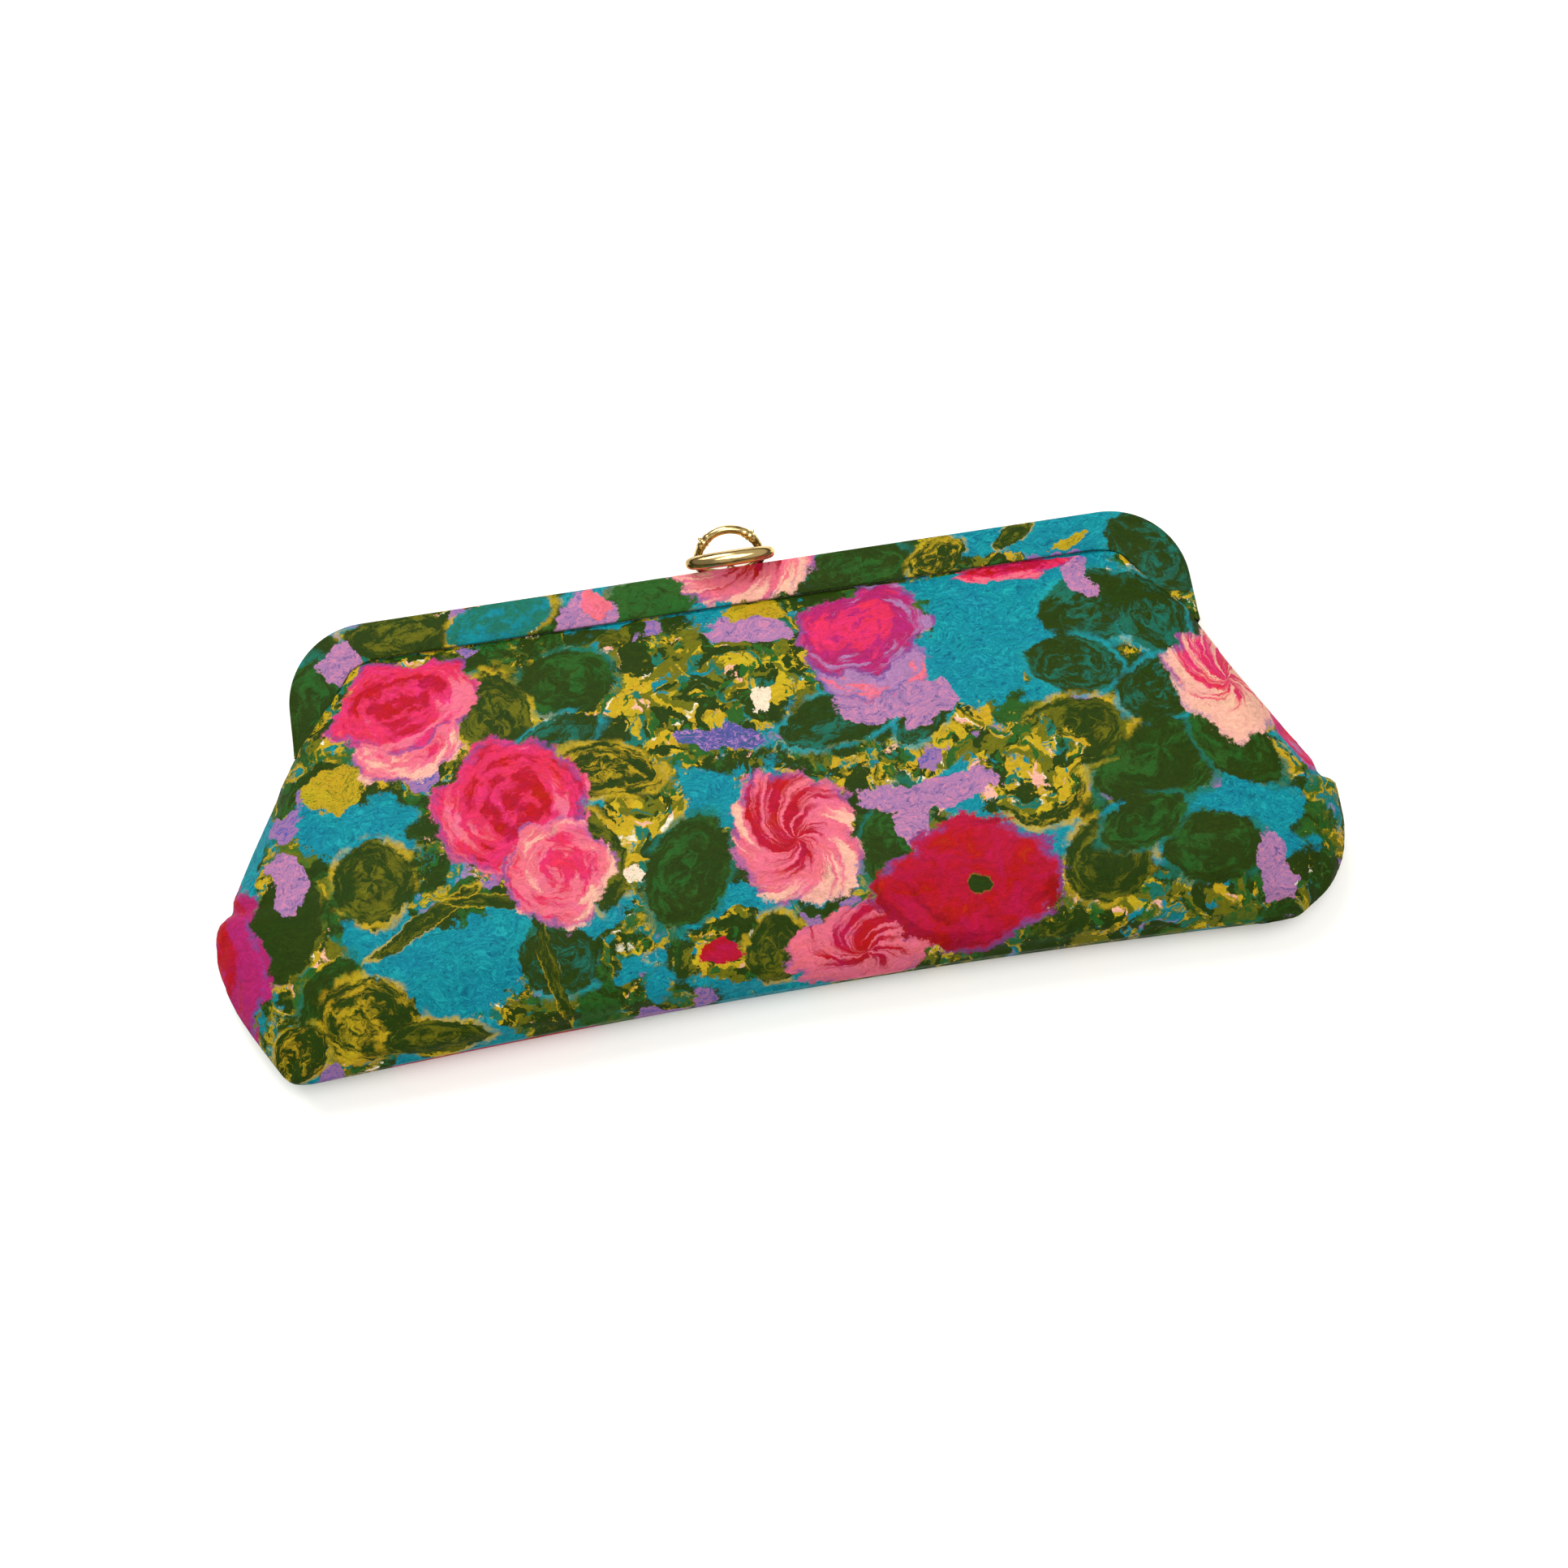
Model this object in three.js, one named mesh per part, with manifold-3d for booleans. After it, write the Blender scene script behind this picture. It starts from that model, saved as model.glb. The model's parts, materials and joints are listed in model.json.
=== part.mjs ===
// A clutch-size frame purse, lying on its back: two fabric-covered steel frame halves
// hinged at their leg ends, a ring clasp, and a boxed cloth body with its lining.
// Millimetres. +X runs along the purse's width, +Y from its bottom towards the clasp,
// and +Z out of the front face. The back panel rests on z = 0.
import * as THREE from 'three';
import { mergeVertices } from 'three/addons/utils/BufferGeometryUtils.js';
import Module from 'manifold-3d';

const wasm = await Module();
wasm.setup();

// ---- driving dimensions -------------------------------------------------------------

const FRAME_TOP_Y = 51; // top edge of the covered frame
const CORNER_RADIUS = 20; // outer radius of the frame's two shoulders
const SHOULDER_X = 95; // centre of each shoulder's arc
const SIDE_X = SHOULDER_X + CORNER_RADIUS;
const BAND_Y = 41; // lower edge of the frame's straight band
const BAND_END_X = 91; // where the band's lower edge starts to turn down
const ELBOW = { x: 98.5, y: 39 }; // where it has turned into the leg's slanted edge
const LEG = { x: 111.7, y: 22.2 }; // inner corner of the leg's lower end

const HALF_THICKNESS = 5.7; // one frame half with its cover, front to back
const REAR_Z = 0.45; // rear face of the rear half
const PARTING_GAP = 0.3;
const FRONT_Z = REAR_Z + HALF_THICKNESS + PARTING_GAP; // rear face of the front half
const COVER = 0.6; // covering cloth
const GLUE_GAP = 0.15; // cloth to steel
const STEEL = 0.75; // channel wall
const OPEN = 6; // how far a channel's slot is cut past its mouth

const HINGE = { y: 18.4, z: REAR_Z + HALF_THICKNESS + PARTING_GAP / 2 };
const EAR_RADIUS = 2.6;
const EAR_THICKNESS = 1;
const FRONT_EAR_X = 112;
const REAR_EAR_X = 113.2;
const RIVET_RADIUS = 1;
const RIVET_HOLE_RADIUS = 1.12;
const RIVET_HEAD = { radius: 1.9, height: 0.7, gap: 0.2 };

const SEAM_Z = 9.15; // plane of the side and bottom seams
const SEAM_GAP = 0.15; // each side of that plane
const LOWER_FRONT_END_Y = 12; // top of the part of the front that stays with the body
const UPPER_FRONT_START_Y = 20; // bottom of the part that swings with the front frame
const MOUTH_START_Y = 11; // above this the back panel has no side walls
const MOUTH_WALL_Z = 4.5;
const LINING_END_Y = 36; // lining and interlining stop short of the channel
const BOTTOM_SAG = 3.28; // the bottom edge's ends hang this much lower than its middle
const SECTION_POWER = 0.4; // squareness of the body's cross-sections
const SECTION_POINTS = 28;

// Cross-sections of the body from the bottom seam to the frame's channel:
// y, half width, height in front of the seam plane, depth behind it.
const BODY_SECTIONS = [
  [-58.4, 117, 2, 2.5],
  [-57, 125.5, 5.5, 5.5],
  [-53, 132.5, 9.3, 8.2],
  [-46, 136.8, 11.6, 10.1],
  [-31, 139.6, 13.2, 10.2],
  [-23, 137.6, 13.4, 10.2],
  [-8, 129.8, 13, 10.2],
  [9, 120.2, 11, 10.2],
  [13, 109.4, 10.4, 10.2],
  [21, 110.4, 8.4, 10.2],
  [31, 103.6, 4.9, 10.1],
  [38.3, 97.6, 2.2, 8.6],
  [40.8, 96, 1.25, 7],
  [46.4, 96, 1.25, 7],
];

// Cloth layers from the outside in: distance from the outer skin, and thickness.
const OUTER_CLOTH = { inset: 0, thickness: 0.9 };
const INTERLINING = { inset: 1.15, thickness: 0.7 };
const LINING = { inset: 2.1, thickness: 0.5 };

const CORD = { inset: 3.4, radius: 0.5, endY: 29, sides: 6, steps: 44 };

const STEM_RADIUS = 0.8;
const STEM_HOLE_RADIUS = 1.05;
const STEM_FOOT_Y = 48.3;
const BUSH = { inner: 0.95, outer: 1.25, height: 0.6 };

// The front ring lies nearly square to the front face, the rear ring leans over it.
// Each reaches rise from its widest line to the far limb, and drop to the limb with the
// stem.
const FRONT_RING = {
  halfWidth: 10.1, rise: 3.9, drop: 3.9, centreY: 52.75, centreZ: 13.7,
  thick: 1.95, thin: 1.35, tilt: THREE.MathUtils.degToRad(110),
};
const REAR_RING = {
  halfWidth: 8.2, rise: 8.7, drop: 3.65, centreY: 54.6, centreZ: 6.9,
  thick: 1.15, thin: 1.15, tilt: THREE.MathUtils.degToRad(47),
};
const COLLAR = { angle: THREE.MathUtils.degToRad(45), width: 0.09, rise: 0.4 };

const MATERIALS = {
  print: new THREE.MeshStandardMaterial({ color: 0x2f6a4a, roughness: 0.75 }),
  steel: new THREE.MeshStandardMaterial({ color: 0xb8b4aa, roughness: 0.4, metalness: 1 }),
  gold: new THREE.MeshStandardMaterial({ color: 0xd9b25a, roughness: 0.15, metalness: 1 }),
  lining: new THREE.MeshStandardMaterial({ color: 0xd8cdb6, roughness: 0.6 }),
  felt: new THREE.MeshStandardMaterial({ color: 0xe6e2d6, roughness: 0.95 }),
  paper: new THREE.MeshStandardMaterial({ color: 0xcbb892, roughness: 0.9 }),
};

// ---- solids -------------------------------------------------------------------------

function toSolid(geometry) {
  const bare = geometry.clone();
  bare.deleteAttribute('normal');
  bare.deleteAttribute('uv');
  const merged = mergeVertices(bare, 1e-5);
  return new wasm.Manifold(new wasm.Mesh({
    numProp: 3,
    vertProperties: new Float32Array(merged.attributes.position.array),
    triVerts: new Uint32Array(merged.index.array),
  }));
}

function toGeometry(solid) {
  const mesh = solid.getMesh();
  const geometry = new THREE.BufferGeometry();
  geometry.setAttribute('position', new THREE.BufferAttribute(mesh.vertProperties, 3));
  geometry.setIndex(new THREE.BufferAttribute(mesh.triVerts, 1));
  geometry.computeVertexNormals();
  return geometry;
}

function box(min, max) {
  const size = max.map((high, axis) => high - min[axis]);
  const geometry = new THREE.BoxGeometry(...size);
  geometry.translate(...max.map((high, axis) => (high + min[axis]) / 2));
  return toSolid(geometry);
}

function slab(shape, lowZ, highZ) {
  const options = { depth: highZ - lowZ, bevelEnabled: false, curveSegments: 10 };
  const geometry = new THREE.ExtrudeGeometry(shape, options);
  geometry.translate(0, 0, lowZ);
  return toSolid(geometry);
}

// A round bar along an axis ('x' or 'y'), from one coordinate on it to another.
function bar(axis, from, to, radius, u, v) {
  const geometry = new THREE.CylinderGeometry(radius, radius, to - from, 24);
  if (axis === 'x') {
    geometry.rotateZ(-Math.PI / 2);
    geometry.translate((from + to) / 2, u, v);
  } else {
    geometry.translate(u, (from + to) / 2, v);
  }
  return toSolid(geometry);
}

// Stitches rings of points into a closed skin: capped at both ends, or joined end to end.
function skin(rings, joined) {
  const count = rings[0].length;
  const points = rings.flat();
  const triangles = [];
  const spans = joined ? rings.length : rings.length - 1;
  for (let ring = 0; ring < spans; ring += 1) {
    const next = (ring + 1) % rings.length;
    for (let i = 0; i < count; i += 1) {
      const j = (i + 1) % count;
      const [a, b] = [ring * count + i, ring * count + j];
      const [c, d] = [next * count + j, next * count + i];
      triangles.push([a, b, c], [a, c, d]);
    }
  }
  if (!joined) {
    const last = (rings.length - 1) * count;
    for (let i = 1; i < count - 1; i += 1) {
      triangles.push([0, i + 1, i], [last, last + i, last + i + 1]);
    }
  }
  const volume = triangles.reduce((sum, [a, b, c]) => (
    sum + points[a].dot(points[b].clone().cross(points[c]))), 0);
  const outward = volume > 0 ? triangles : triangles.map(([a, b, c]) => [a, c, b]);
  const geometry = new THREE.BufferGeometry();
  geometry.setAttribute('position',
    new THREE.Float32BufferAttribute(points.flatMap((p) => p.toArray()), 3));
  geometry.setIndex(outward.flat());
  return toSolid(geometry);
}

const model = new THREE.Group();

function addPiece(name, solid, material) {
  const mesh = new THREE.Mesh(toGeometry(solid), material);
  mesh.name = name;
  model.add(mesh);
}

// ---- frame halves -------------------------------------------------------------------

// The frame seen from the front. inset moves its outer edge in, open moves its inner
// edge (band and slanted legs) further in, and drop lowers its leg ends.
function frameShape(inset, open, drop) {
  const side = SIDE_X - inset;
  const radius = CORNER_RADIUS - inset;
  const centreY = FRAME_TOP_Y - CORNER_RADIUS;
  const legY = LEG.y - drop;
  const bandY = BAND_Y - open;
  const bend = ELBOW.y + 1.6 - open;
  const shape = new THREE.Shape();
  shape.moveTo(side, legY);
  shape.lineTo(side, centreY);
  shape.absarc(SHOULDER_X, centreY, radius, 0, Math.PI / 2);
  shape.lineTo(-SHOULDER_X, FRAME_TOP_Y - inset);
  shape.absarc(-SHOULDER_X, centreY, radius, Math.PI / 2, Math.PI);
  shape.lineTo(-side, legY);
  shape.lineTo(-LEG.x + open, legY);
  shape.lineTo(-ELBOW.x + open, ELBOW.y - open);
  shape.quadraticCurveTo(-ELBOW.x + 1.5 + open, bend, -BAND_END_X + open, bandY);
  shape.lineTo(BAND_END_X - open, bandY);
  shape.quadraticCurveTo(ELBOW.x - 1.5 - open, bend, ELBOW.x - open, ELBOW.y - open);
  shape.lineTo(LEG.x - open, legY);
  shape.closePath();
  return shape;
}

// A U channel, open downwards and inwards: outline less its slot.
function channel(inset, wall, lowZ, highZ) {
  const outside = slab(frameShape(inset, 0, 0), lowZ, highZ);
  const slot = slab(frameShape(inset + wall, OPEN, 2), lowZ + wall, highZ - wall);
  return outside.subtract(slot);
}

// A hinge ear: a plate in the YZ plane from the channel's leg end to the pivot.
function ear(innerX, legLowZ, legHighZ) {
  const grip = 2.5; // length of the plate inside the channel
  const shape = new THREE.Shape();
  const towards = legLowZ > HINGE.z ? 1 : -1;
  const near = towards > 0 ? legLowZ : legHighZ;
  const far = towards > 0 ? legHighZ : legLowZ;
  shape.moveTo(HINGE.y, HINGE.z + towards * EAR_RADIUS);
  shape.lineTo(LEG.y, far);
  shape.lineTo(LEG.y + grip, far);
  shape.lineTo(LEG.y + grip, near);
  shape.lineTo(LEG.y, near);
  shape.lineTo(HINGE.y + EAR_RADIUS, HINGE.z);
  shape.absarc(HINGE.y, HINGE.z, EAR_RADIUS, 0, towards * Math.PI / 2, towards > 0);
  const plate = new THREE.ExtrudeGeometry(shape, {
    depth: EAR_THICKNESS, bevelEnabled: false, curveSegments: 18,
  });
  // Shape x becomes +Y, shape y becomes +Z, and depth becomes +X.
  plate.applyMatrix4(new THREE.Matrix4().set(
    0, 0, 1, innerX,
    1, 0, 0, 0,
    0, 1, 0, 0,
    0, 0, 0, 1,
  ));
  return toSolid(plate);
}

function addFrameHalf(side, lowZ, earX, ringCentreZ) {
  const highZ = lowZ + HALF_THICKNESS;
  const margin = COVER + GLUE_GAP;
  const [steelLow, steelHigh] = [lowZ + margin, highZ - margin];
  const stemHole = bar('y', STEM_FOOT_Y, FRAME_TOP_Y + 1, STEM_HOLE_RADIUS, 0, ringCentreZ);

  let steel = channel(margin, STEEL, steelLow, steelHigh);
  const plate = ear(earX, steelLow, steelHigh);
  const hole = bar('x', earX - 1, earX + 2, RIVET_HOLE_RADIUS, HINGE.y, HINGE.z);
  const drilled = plate.subtract(hole);
  steel = steel.add(drilled).add(drilled.mirror([1, 0, 0])).subtract(stemHole);
  addPiece(`${side}_frame`, steel, MATERIALS.steel);

  const cover = channel(0, COVER, lowZ, highZ).subtract(stemHole);
  addPiece(`${side}_frame_cover`, cover, MATERIALS.print);
}

// The twisted paper cord that packs the cloth into a channel, from leg to leg.
function addPaperCord(side, z) {
  const radius = CORNER_RADIUS - CORD.inset;
  const centreY = FRAME_TOP_Y - CORNER_RADIUS;
  const points = [new THREE.Vector3(SHOULDER_X + radius, CORD.endY, z)];
  const turns = 5;
  for (const [centreX, start] of [[SHOULDER_X, 0], [-SHOULDER_X, Math.PI / 2]]) {
    for (let i = 0; i <= turns; i += 1) {
      const angle = start + (i / turns) * (Math.PI / 2);
      points.push(new THREE.Vector3(
        centreX + radius * Math.cos(angle), centreY + radius * Math.sin(angle), z));
    }
    if (start === 0) {
      for (const x of [80, 40, 0, -40, -80]) {
        points.push(new THREE.Vector3(x, centreY + radius, z));
      }
    }
  }
  points.push(new THREE.Vector3(-SHOULDER_X - radius, CORD.endY, z));
  const route = new THREE.CatmullRomCurve3(points, false, 'centripetal');
  const section = new THREE.Shape();
  section.absarc(0, 0, CORD.radius, 0, 2 * Math.PI);
  const cord = new THREE.ExtrudeGeometry(section, {
    extrudePath: route, steps: CORD.steps, curveSegments: CORD.sides / 2,
  });
  addPiece(`${side}_paper_cord`, toSolid(cord), MATERIALS.paper);
}

// A rivet through both ears, with a head inside and a head outside.
function addHingeRivets() {
  const pinFrom = FRONT_EAR_X - RIVET_HEAD.gap - RIVET_HEAD.height;
  const pinTo = REAR_EAR_X + EAR_THICKNESS + RIVET_HEAD.gap + RIVET_HEAD.height;
  const at = [HINGE.y, HINGE.z];
  const rivet = bar('x', pinFrom, pinTo, RIVET_RADIUS, ...at)
    .add(bar('x', pinFrom, pinFrom + RIVET_HEAD.height, RIVET_HEAD.radius, ...at))
    .add(bar('x', pinTo - RIVET_HEAD.height, pinTo, RIVET_HEAD.radius, ...at));
  addPiece('right_hinge_rivet', rivet, MATERIALS.gold);
  addPiece('left_hinge_rivet', rivet.mirror([1, 0, 0]), MATERIALS.gold);
}

// ---- clasp --------------------------------------------------------------------------

// An oval ring. Its plane holds X and the direction tilted from +Y towards +Z; the tube
// is thickest at the limb far along that direction, or ringed by collars.
function ringSolid(ring, collared) {
  const [around, sides] = [collared ? 64 : 36, 10];
  const up = new THREE.Vector3(0, Math.cos(ring.tilt), Math.sin(ring.tilt));
  const normal = new THREE.Vector3(1, 0, 0).cross(up);
  const centre = new THREE.Vector3(0, ring.centreY, ring.centreZ);
  const rings = [];
  for (let i = 0; i < around; i += 1) {
    const angle = (i / around) * 2 * Math.PI;
    const swell = Math.max(Math.sin(angle), 0) ** 0.7;
    const depth = angle < Math.PI ? ring.rise : ring.drop;
    let radius = ring.thin + (ring.thick - ring.thin) * swell;
    if (collared) {
      const away = Math.min(...[COLLAR.angle, Math.PI - COLLAR.angle]
        .map((at) => Math.abs(angle - at)));
      radius += COLLAR.rise * Math.exp(-((away / COLLAR.width) ** 2));
    }
    const out = new THREE.Vector3(Math.cos(angle) * depth, 0, 0)
      .addScaledVector(up, Math.sin(angle) * ring.halfWidth).normalize();
    const middle = centre.clone()
      .add(new THREE.Vector3(Math.cos(angle) * ring.halfWidth, 0, 0))
      .addScaledVector(up, Math.sin(angle) * depth);
    const section = [];
    for (let j = 0; j < sides; j += 1) {
      const turn = (j / sides) * 2 * Math.PI;
      section.push(middle.clone()
        .addScaledVector(out, radius * Math.cos(turn))
        .addScaledVector(normal, radius * Math.sin(turn)));
    }
    rings.push(section);
  }
  return skin(rings, true);
}

// A ring with the stem that passes through the frame, and the bush pressed on its foot.
function addClasp(side, ring, stemZ, collared) {
  const limbY = ring.centreY - ring.drop * Math.cos(ring.tilt);
  const stem = bar('y', STEM_FOOT_Y, limbY, STEM_RADIUS, 0, stemZ);
  const footY = STEM_FOOT_Y + 0.1;
  const bush = bar('y', footY, footY + BUSH.height, BUSH.outer, 0, stemZ)
    .subtract(bar('y', footY - 1, footY + 2, BUSH.inner, 0, stemZ));
  addPiece(`${side}_clasp_ring`, ringSolid(ring, collared).add(stem), MATERIALS.gold);
  addPiece(`${side}_clasp_bush`, bush, MATERIALS.steel);
}

// ---- cloth body ---------------------------------------------------------------------

// The body's outer form moved in by inset, flat where it rests. openTop makes it run on
// past the frame's channel, so that subtracting it leaves the mouth open.
function bodyForm(inset, openTop) {
  const bottomY = BODY_SECTIONS[0][0];
  const cornerLength = 12; // the bottom edge's rounding, where inset also raises y
  const rings = BODY_SECTIONS.map(([y, halfWidth, front, back], index) => {
    const isLast = index === BODY_SECTIONS.length - 1;
    const raise = inset * Math.max(0, 1 - (y - bottomY) / cornerLength);
    const rowY = y + raise + (openTop && isLast ? 5 : 0);
    const sag = BOTTOM_SAG * THREE.MathUtils.clamp((-20 - y) / 25, 0, 1);
    const width = halfWidth - inset;
    const section = [];
    for (let i = 0; i < SECTION_POINTS; i += 1) {
      const angle = (i / SECTION_POINTS) * 2 * Math.PI;
      const across = Math.sign(Math.sin(angle)) * Math.abs(Math.sin(angle)) ** SECTION_POWER;
      const reach = Math.max((Math.cos(angle) > 0 ? front : back) - inset, 0.2);
      section.push(new THREE.Vector3(
        width * across, rowY - sag * across ** 2, SEAM_Z + reach * Math.cos(angle)));
    }
    return section;
  });
  const restPlane = box([-200, -100, inset], [200, 100, 100]);
  return skin(rings, false).intersect(restPlane);
}

// One cloth layer, cut into the back, the lower front and the upper front.
function addLayer(layer, names, endY, material) {
  const shell = bodyForm(layer.inset, false)
    .subtract(bodyForm(layer.inset + layer.thickness, true))
    .intersect(box([-200, -100, -1], [200, endY, 100]));
  const mouth = box([-200, MOUTH_START_Y, MOUTH_WALL_Z], [200, 100, 100]);
  const backSpace = box([-200, -100, -1], [200, 100, SEAM_Z - SEAM_GAP]);
  const frontZ = SEAM_Z + SEAM_GAP;
  const lowerSpace = box([-200, -100, frontZ], [200, LOWER_FRONT_END_Y - layer.inset * 3, 100]);
  const upperSpace = box([-200, UPPER_FRONT_START_Y, frontZ], [200, 100, 100]);
  addPiece(names.back, shell.intersect(backSpace).subtract(mouth), material);
  addPiece(names.lower, shell.intersect(lowerSpace), material);
  addPiece(names.upper, shell.intersect(upperSpace), material);
}

// ---- assembly -----------------------------------------------------------------------

const frontMiddle = FRONT_Z + HALF_THICKNESS / 2;
const rearMiddle = REAR_Z + HALF_THICKNESS / 2;

addFrameHalf('front', FRONT_Z, FRONT_EAR_X, frontMiddle);
addFrameHalf('rear', REAR_Z, REAR_EAR_X, rearMiddle);
addPaperCord('front', frontMiddle - 0.65);
addPaperCord('rear', rearMiddle + 0.65);
addHingeRivets();
addClasp('front', FRONT_RING, frontMiddle, false);
addClasp('rear', REAR_RING, rearMiddle, true);

addLayer(OUTER_CLOTH, {
  back: 'back_panel', lower: 'front_panel_lower', upper: 'front_panel_upper',
}, 100, MATERIALS.print);
addLayer(INTERLINING, {
  back: 'back_interlining',
  lower: 'front_interlining_lower',
  upper: 'front_interlining_upper',
}, LINING_END_Y, MATERIALS.felt);
addLayer(LINING, {
  back: 'back_lining', lower: 'front_lining_lower', upper: 'front_lining_upper',
}, LINING_END_Y, MATERIALS.lining);

export default model;
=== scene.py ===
"""A frame clutch purse in rose-print cloth, lying on its back on a pale surface."""
import json
import math

import bpy
import numpy as np
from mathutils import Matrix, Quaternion, Vector


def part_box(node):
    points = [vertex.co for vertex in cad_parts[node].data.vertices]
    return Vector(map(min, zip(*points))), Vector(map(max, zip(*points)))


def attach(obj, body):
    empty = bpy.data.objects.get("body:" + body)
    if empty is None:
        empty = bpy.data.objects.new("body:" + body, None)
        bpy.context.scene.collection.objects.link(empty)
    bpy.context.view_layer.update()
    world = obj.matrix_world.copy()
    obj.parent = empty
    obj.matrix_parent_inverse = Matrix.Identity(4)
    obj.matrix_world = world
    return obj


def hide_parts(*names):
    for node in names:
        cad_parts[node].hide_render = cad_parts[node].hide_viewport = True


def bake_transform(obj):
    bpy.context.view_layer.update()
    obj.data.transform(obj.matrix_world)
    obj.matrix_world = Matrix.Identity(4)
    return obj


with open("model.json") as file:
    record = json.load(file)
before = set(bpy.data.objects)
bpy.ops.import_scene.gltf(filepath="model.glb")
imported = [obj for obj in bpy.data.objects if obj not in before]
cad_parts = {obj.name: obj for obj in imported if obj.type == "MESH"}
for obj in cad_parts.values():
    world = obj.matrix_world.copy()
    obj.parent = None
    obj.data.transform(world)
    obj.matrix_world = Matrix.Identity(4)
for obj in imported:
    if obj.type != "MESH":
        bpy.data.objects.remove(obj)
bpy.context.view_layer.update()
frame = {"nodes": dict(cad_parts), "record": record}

MM = 0.001  # the frame is in metres, the numbers below are in millimetres
REAR = "rear_half"
FRONT = "front_half"
HINGE = Vector(frame["record"]["behaviour"]["joints"][0]["pos_m"])

# ---- places taken from the frame, in millimetres ----


def node_box(node):
    """A CAD node's lowest and highest corners, in millimetres."""
    low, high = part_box(node)
    return np.array(low) / MM, np.array(high) / MM


front_cover_low, front_cover_high = node_box("front_frame_cover")
rear_cover_low, rear_cover_high = node_box("rear_frame_cover")
SEAM_Z = 9.15
FRAME_TOP = front_cover_high[1]
FRAME_SIDE = front_cover_high[0]
SHOULDER = 20.0  # outer radius of the frame's two upper corners
BAND_Y = 41.0  # lower edge of the frame's straight band
SEAM_GAP = 0.12  # each layer's seam allowance stays this far from the seam plane

# Cross-sections of the body from the bottom seam up into the frame's channel:
# y, height of the front above the seam plane, depth of the back below it,
# half width on the left and on the right, and how far the cloth goes on past that width
# (into the channel, or turned in at the seam).
BODY_ROWS = [
    (-59.7, 0.0, 0.0, 117.0, 114.5, -1.5),
    (-59.6, 2.6, 2.8, 120.5, 119.5, -1.5),
    (-58.8, 5.4, 5.2, 124.0, 124.2, -1.5),
    (-56.8, 7.9, 7.2, 126.2, 127.4, -1.5),
    (-53.4, 9.7, 8.5, 128.2, 132.2, -1.5),
    (-47.0, 11.5, 9.1, 131.8, 137.0, -1.5),
    (-39.0, 12.7, 9.15, 136.0, 139.8, -1.5),
    (-31.5, 13.2, 9.15, 138.6, 140.2, -1.5),
    (-27.6, 13.3, 9.15, 139.2, 139.7, -1.5),
    (-25.0, 13.3, 9.15, 139.1, 137.0, -1.5),
    (-20.6, 13.3, 9.15, 137.9, 135.0, -1.5),
    (-18.2, 13.2, 9.15, 135.2, 133.8, -1.5),
    (-14.0, 13.1, 9.15, 133.4, 131.4, -1.5),
    (-4.0, 12.7, 9.15, 128.2, 126.0, -1.5),
    (8.0, 11.6, 9.15, 121.2, 119.4, -1.5),
    (17.5, 10.0, 9.15, 115.6, 114.6, -1.5),
    (22.0, 8.9, 9.1, 111.9, 111.9, 1.2),
    (31.0, 6.2, 8.9, 104.6, 104.6, 5.0),
    (37.5, 3.9, 8.2, 99.6, 99.6, 9.0),
    (39.7, 3.1, 7.6, 98.2, 98.2, 9.0),
    (40.6, 1.8, 7.2, 98.2, 98.2, 9.0),
    (41.6, 1.4, 6.9, 98.2, 98.2, 9.0),
    (45.5, 1.3, 6.7, 98.2, 98.2, 8.0),
]
BOTTOM_Y = BODY_ROWS[0][0]
CHANNEL_REACH = 1.3  # front cloth above the seam plane inside the channel
CHANNEL_DEPTH = 6.7  # back cloth below it there
PRINT_LEVEL_Y = -15  # print coordinates agree with the purse's at this height

# ---- small helpers ----


def srgb(red, green, blue):
    """A display colour, 0 to 255, as linear RGBA."""
    def linear(value):
        value /= 255
        return value / 12.92 if value <= 0.04045 else ((value + 0.055) / 1.055) ** 2.4
    return (linear(red), linear(green), linear(blue), 1.0)


def through(points, count):
    """A smooth line through points, each a row of numbers, as count rows."""
    points = np.asarray(points, float)
    steps = np.maximum(np.linalg.norm(np.diff(points[:, :3], axis=0), axis=1), 1e-6)
    knots = np.concatenate([[0], np.cumsum(steps)])
    slopes = np.gradient(points, knots, axis=0)
    at = np.linspace(0, knots[-1], count)
    index = np.clip(np.searchsorted(knots, at, side="right") - 1, 0, len(knots) - 2)
    width = knots[index + 1] - knots[index]
    t = ((at - knots[index]) / width)[:, None]
    width = width[:, None]
    start, end = points[index], points[index + 1]
    m0, m1 = slopes[index] * width, slopes[index + 1] * width
    # Slopes are limited so that the line doesn't overshoot between close points.
    limit = 3 * np.abs(end - start)
    m0, m1 = np.clip(m0, -limit, limit), np.clip(m1, -limit, limit)
    return ((2 * t**3 - 3 * t**2 + 1) * start + (t**3 - 2 * t**2 + t) * m0
            + (-2 * t**3 + 3 * t**2) * end + (t**3 - t**2) * m1)


def make_object(name, vertices, faces, material, uvs=None):
    """A smooth-shaded mesh object from millimetre vertices, with print coordinates."""
    mesh = bpy.data.meshes.new(name)
    mesh.from_pydata((np.asarray(vertices) * MM).tolist(), [], faces)
    mesh.update()
    if uvs is not None:
        layer = mesh.uv_layers.new(name="print")
        loops = np.empty(len(mesh.loops), int)
        mesh.loops.foreach_get("vertex_index", loops)
        layer.data.foreach_set("uv", (np.asarray(uvs)[loops] * MM).ravel())
    for polygon in mesh.polygons:
        polygon.use_smooth = True
    mesh.materials.append(material)
    obj = bpy.data.objects.new(name, mesh)
    bpy.context.scene.collection.objects.link(obj)
    return obj


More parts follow.
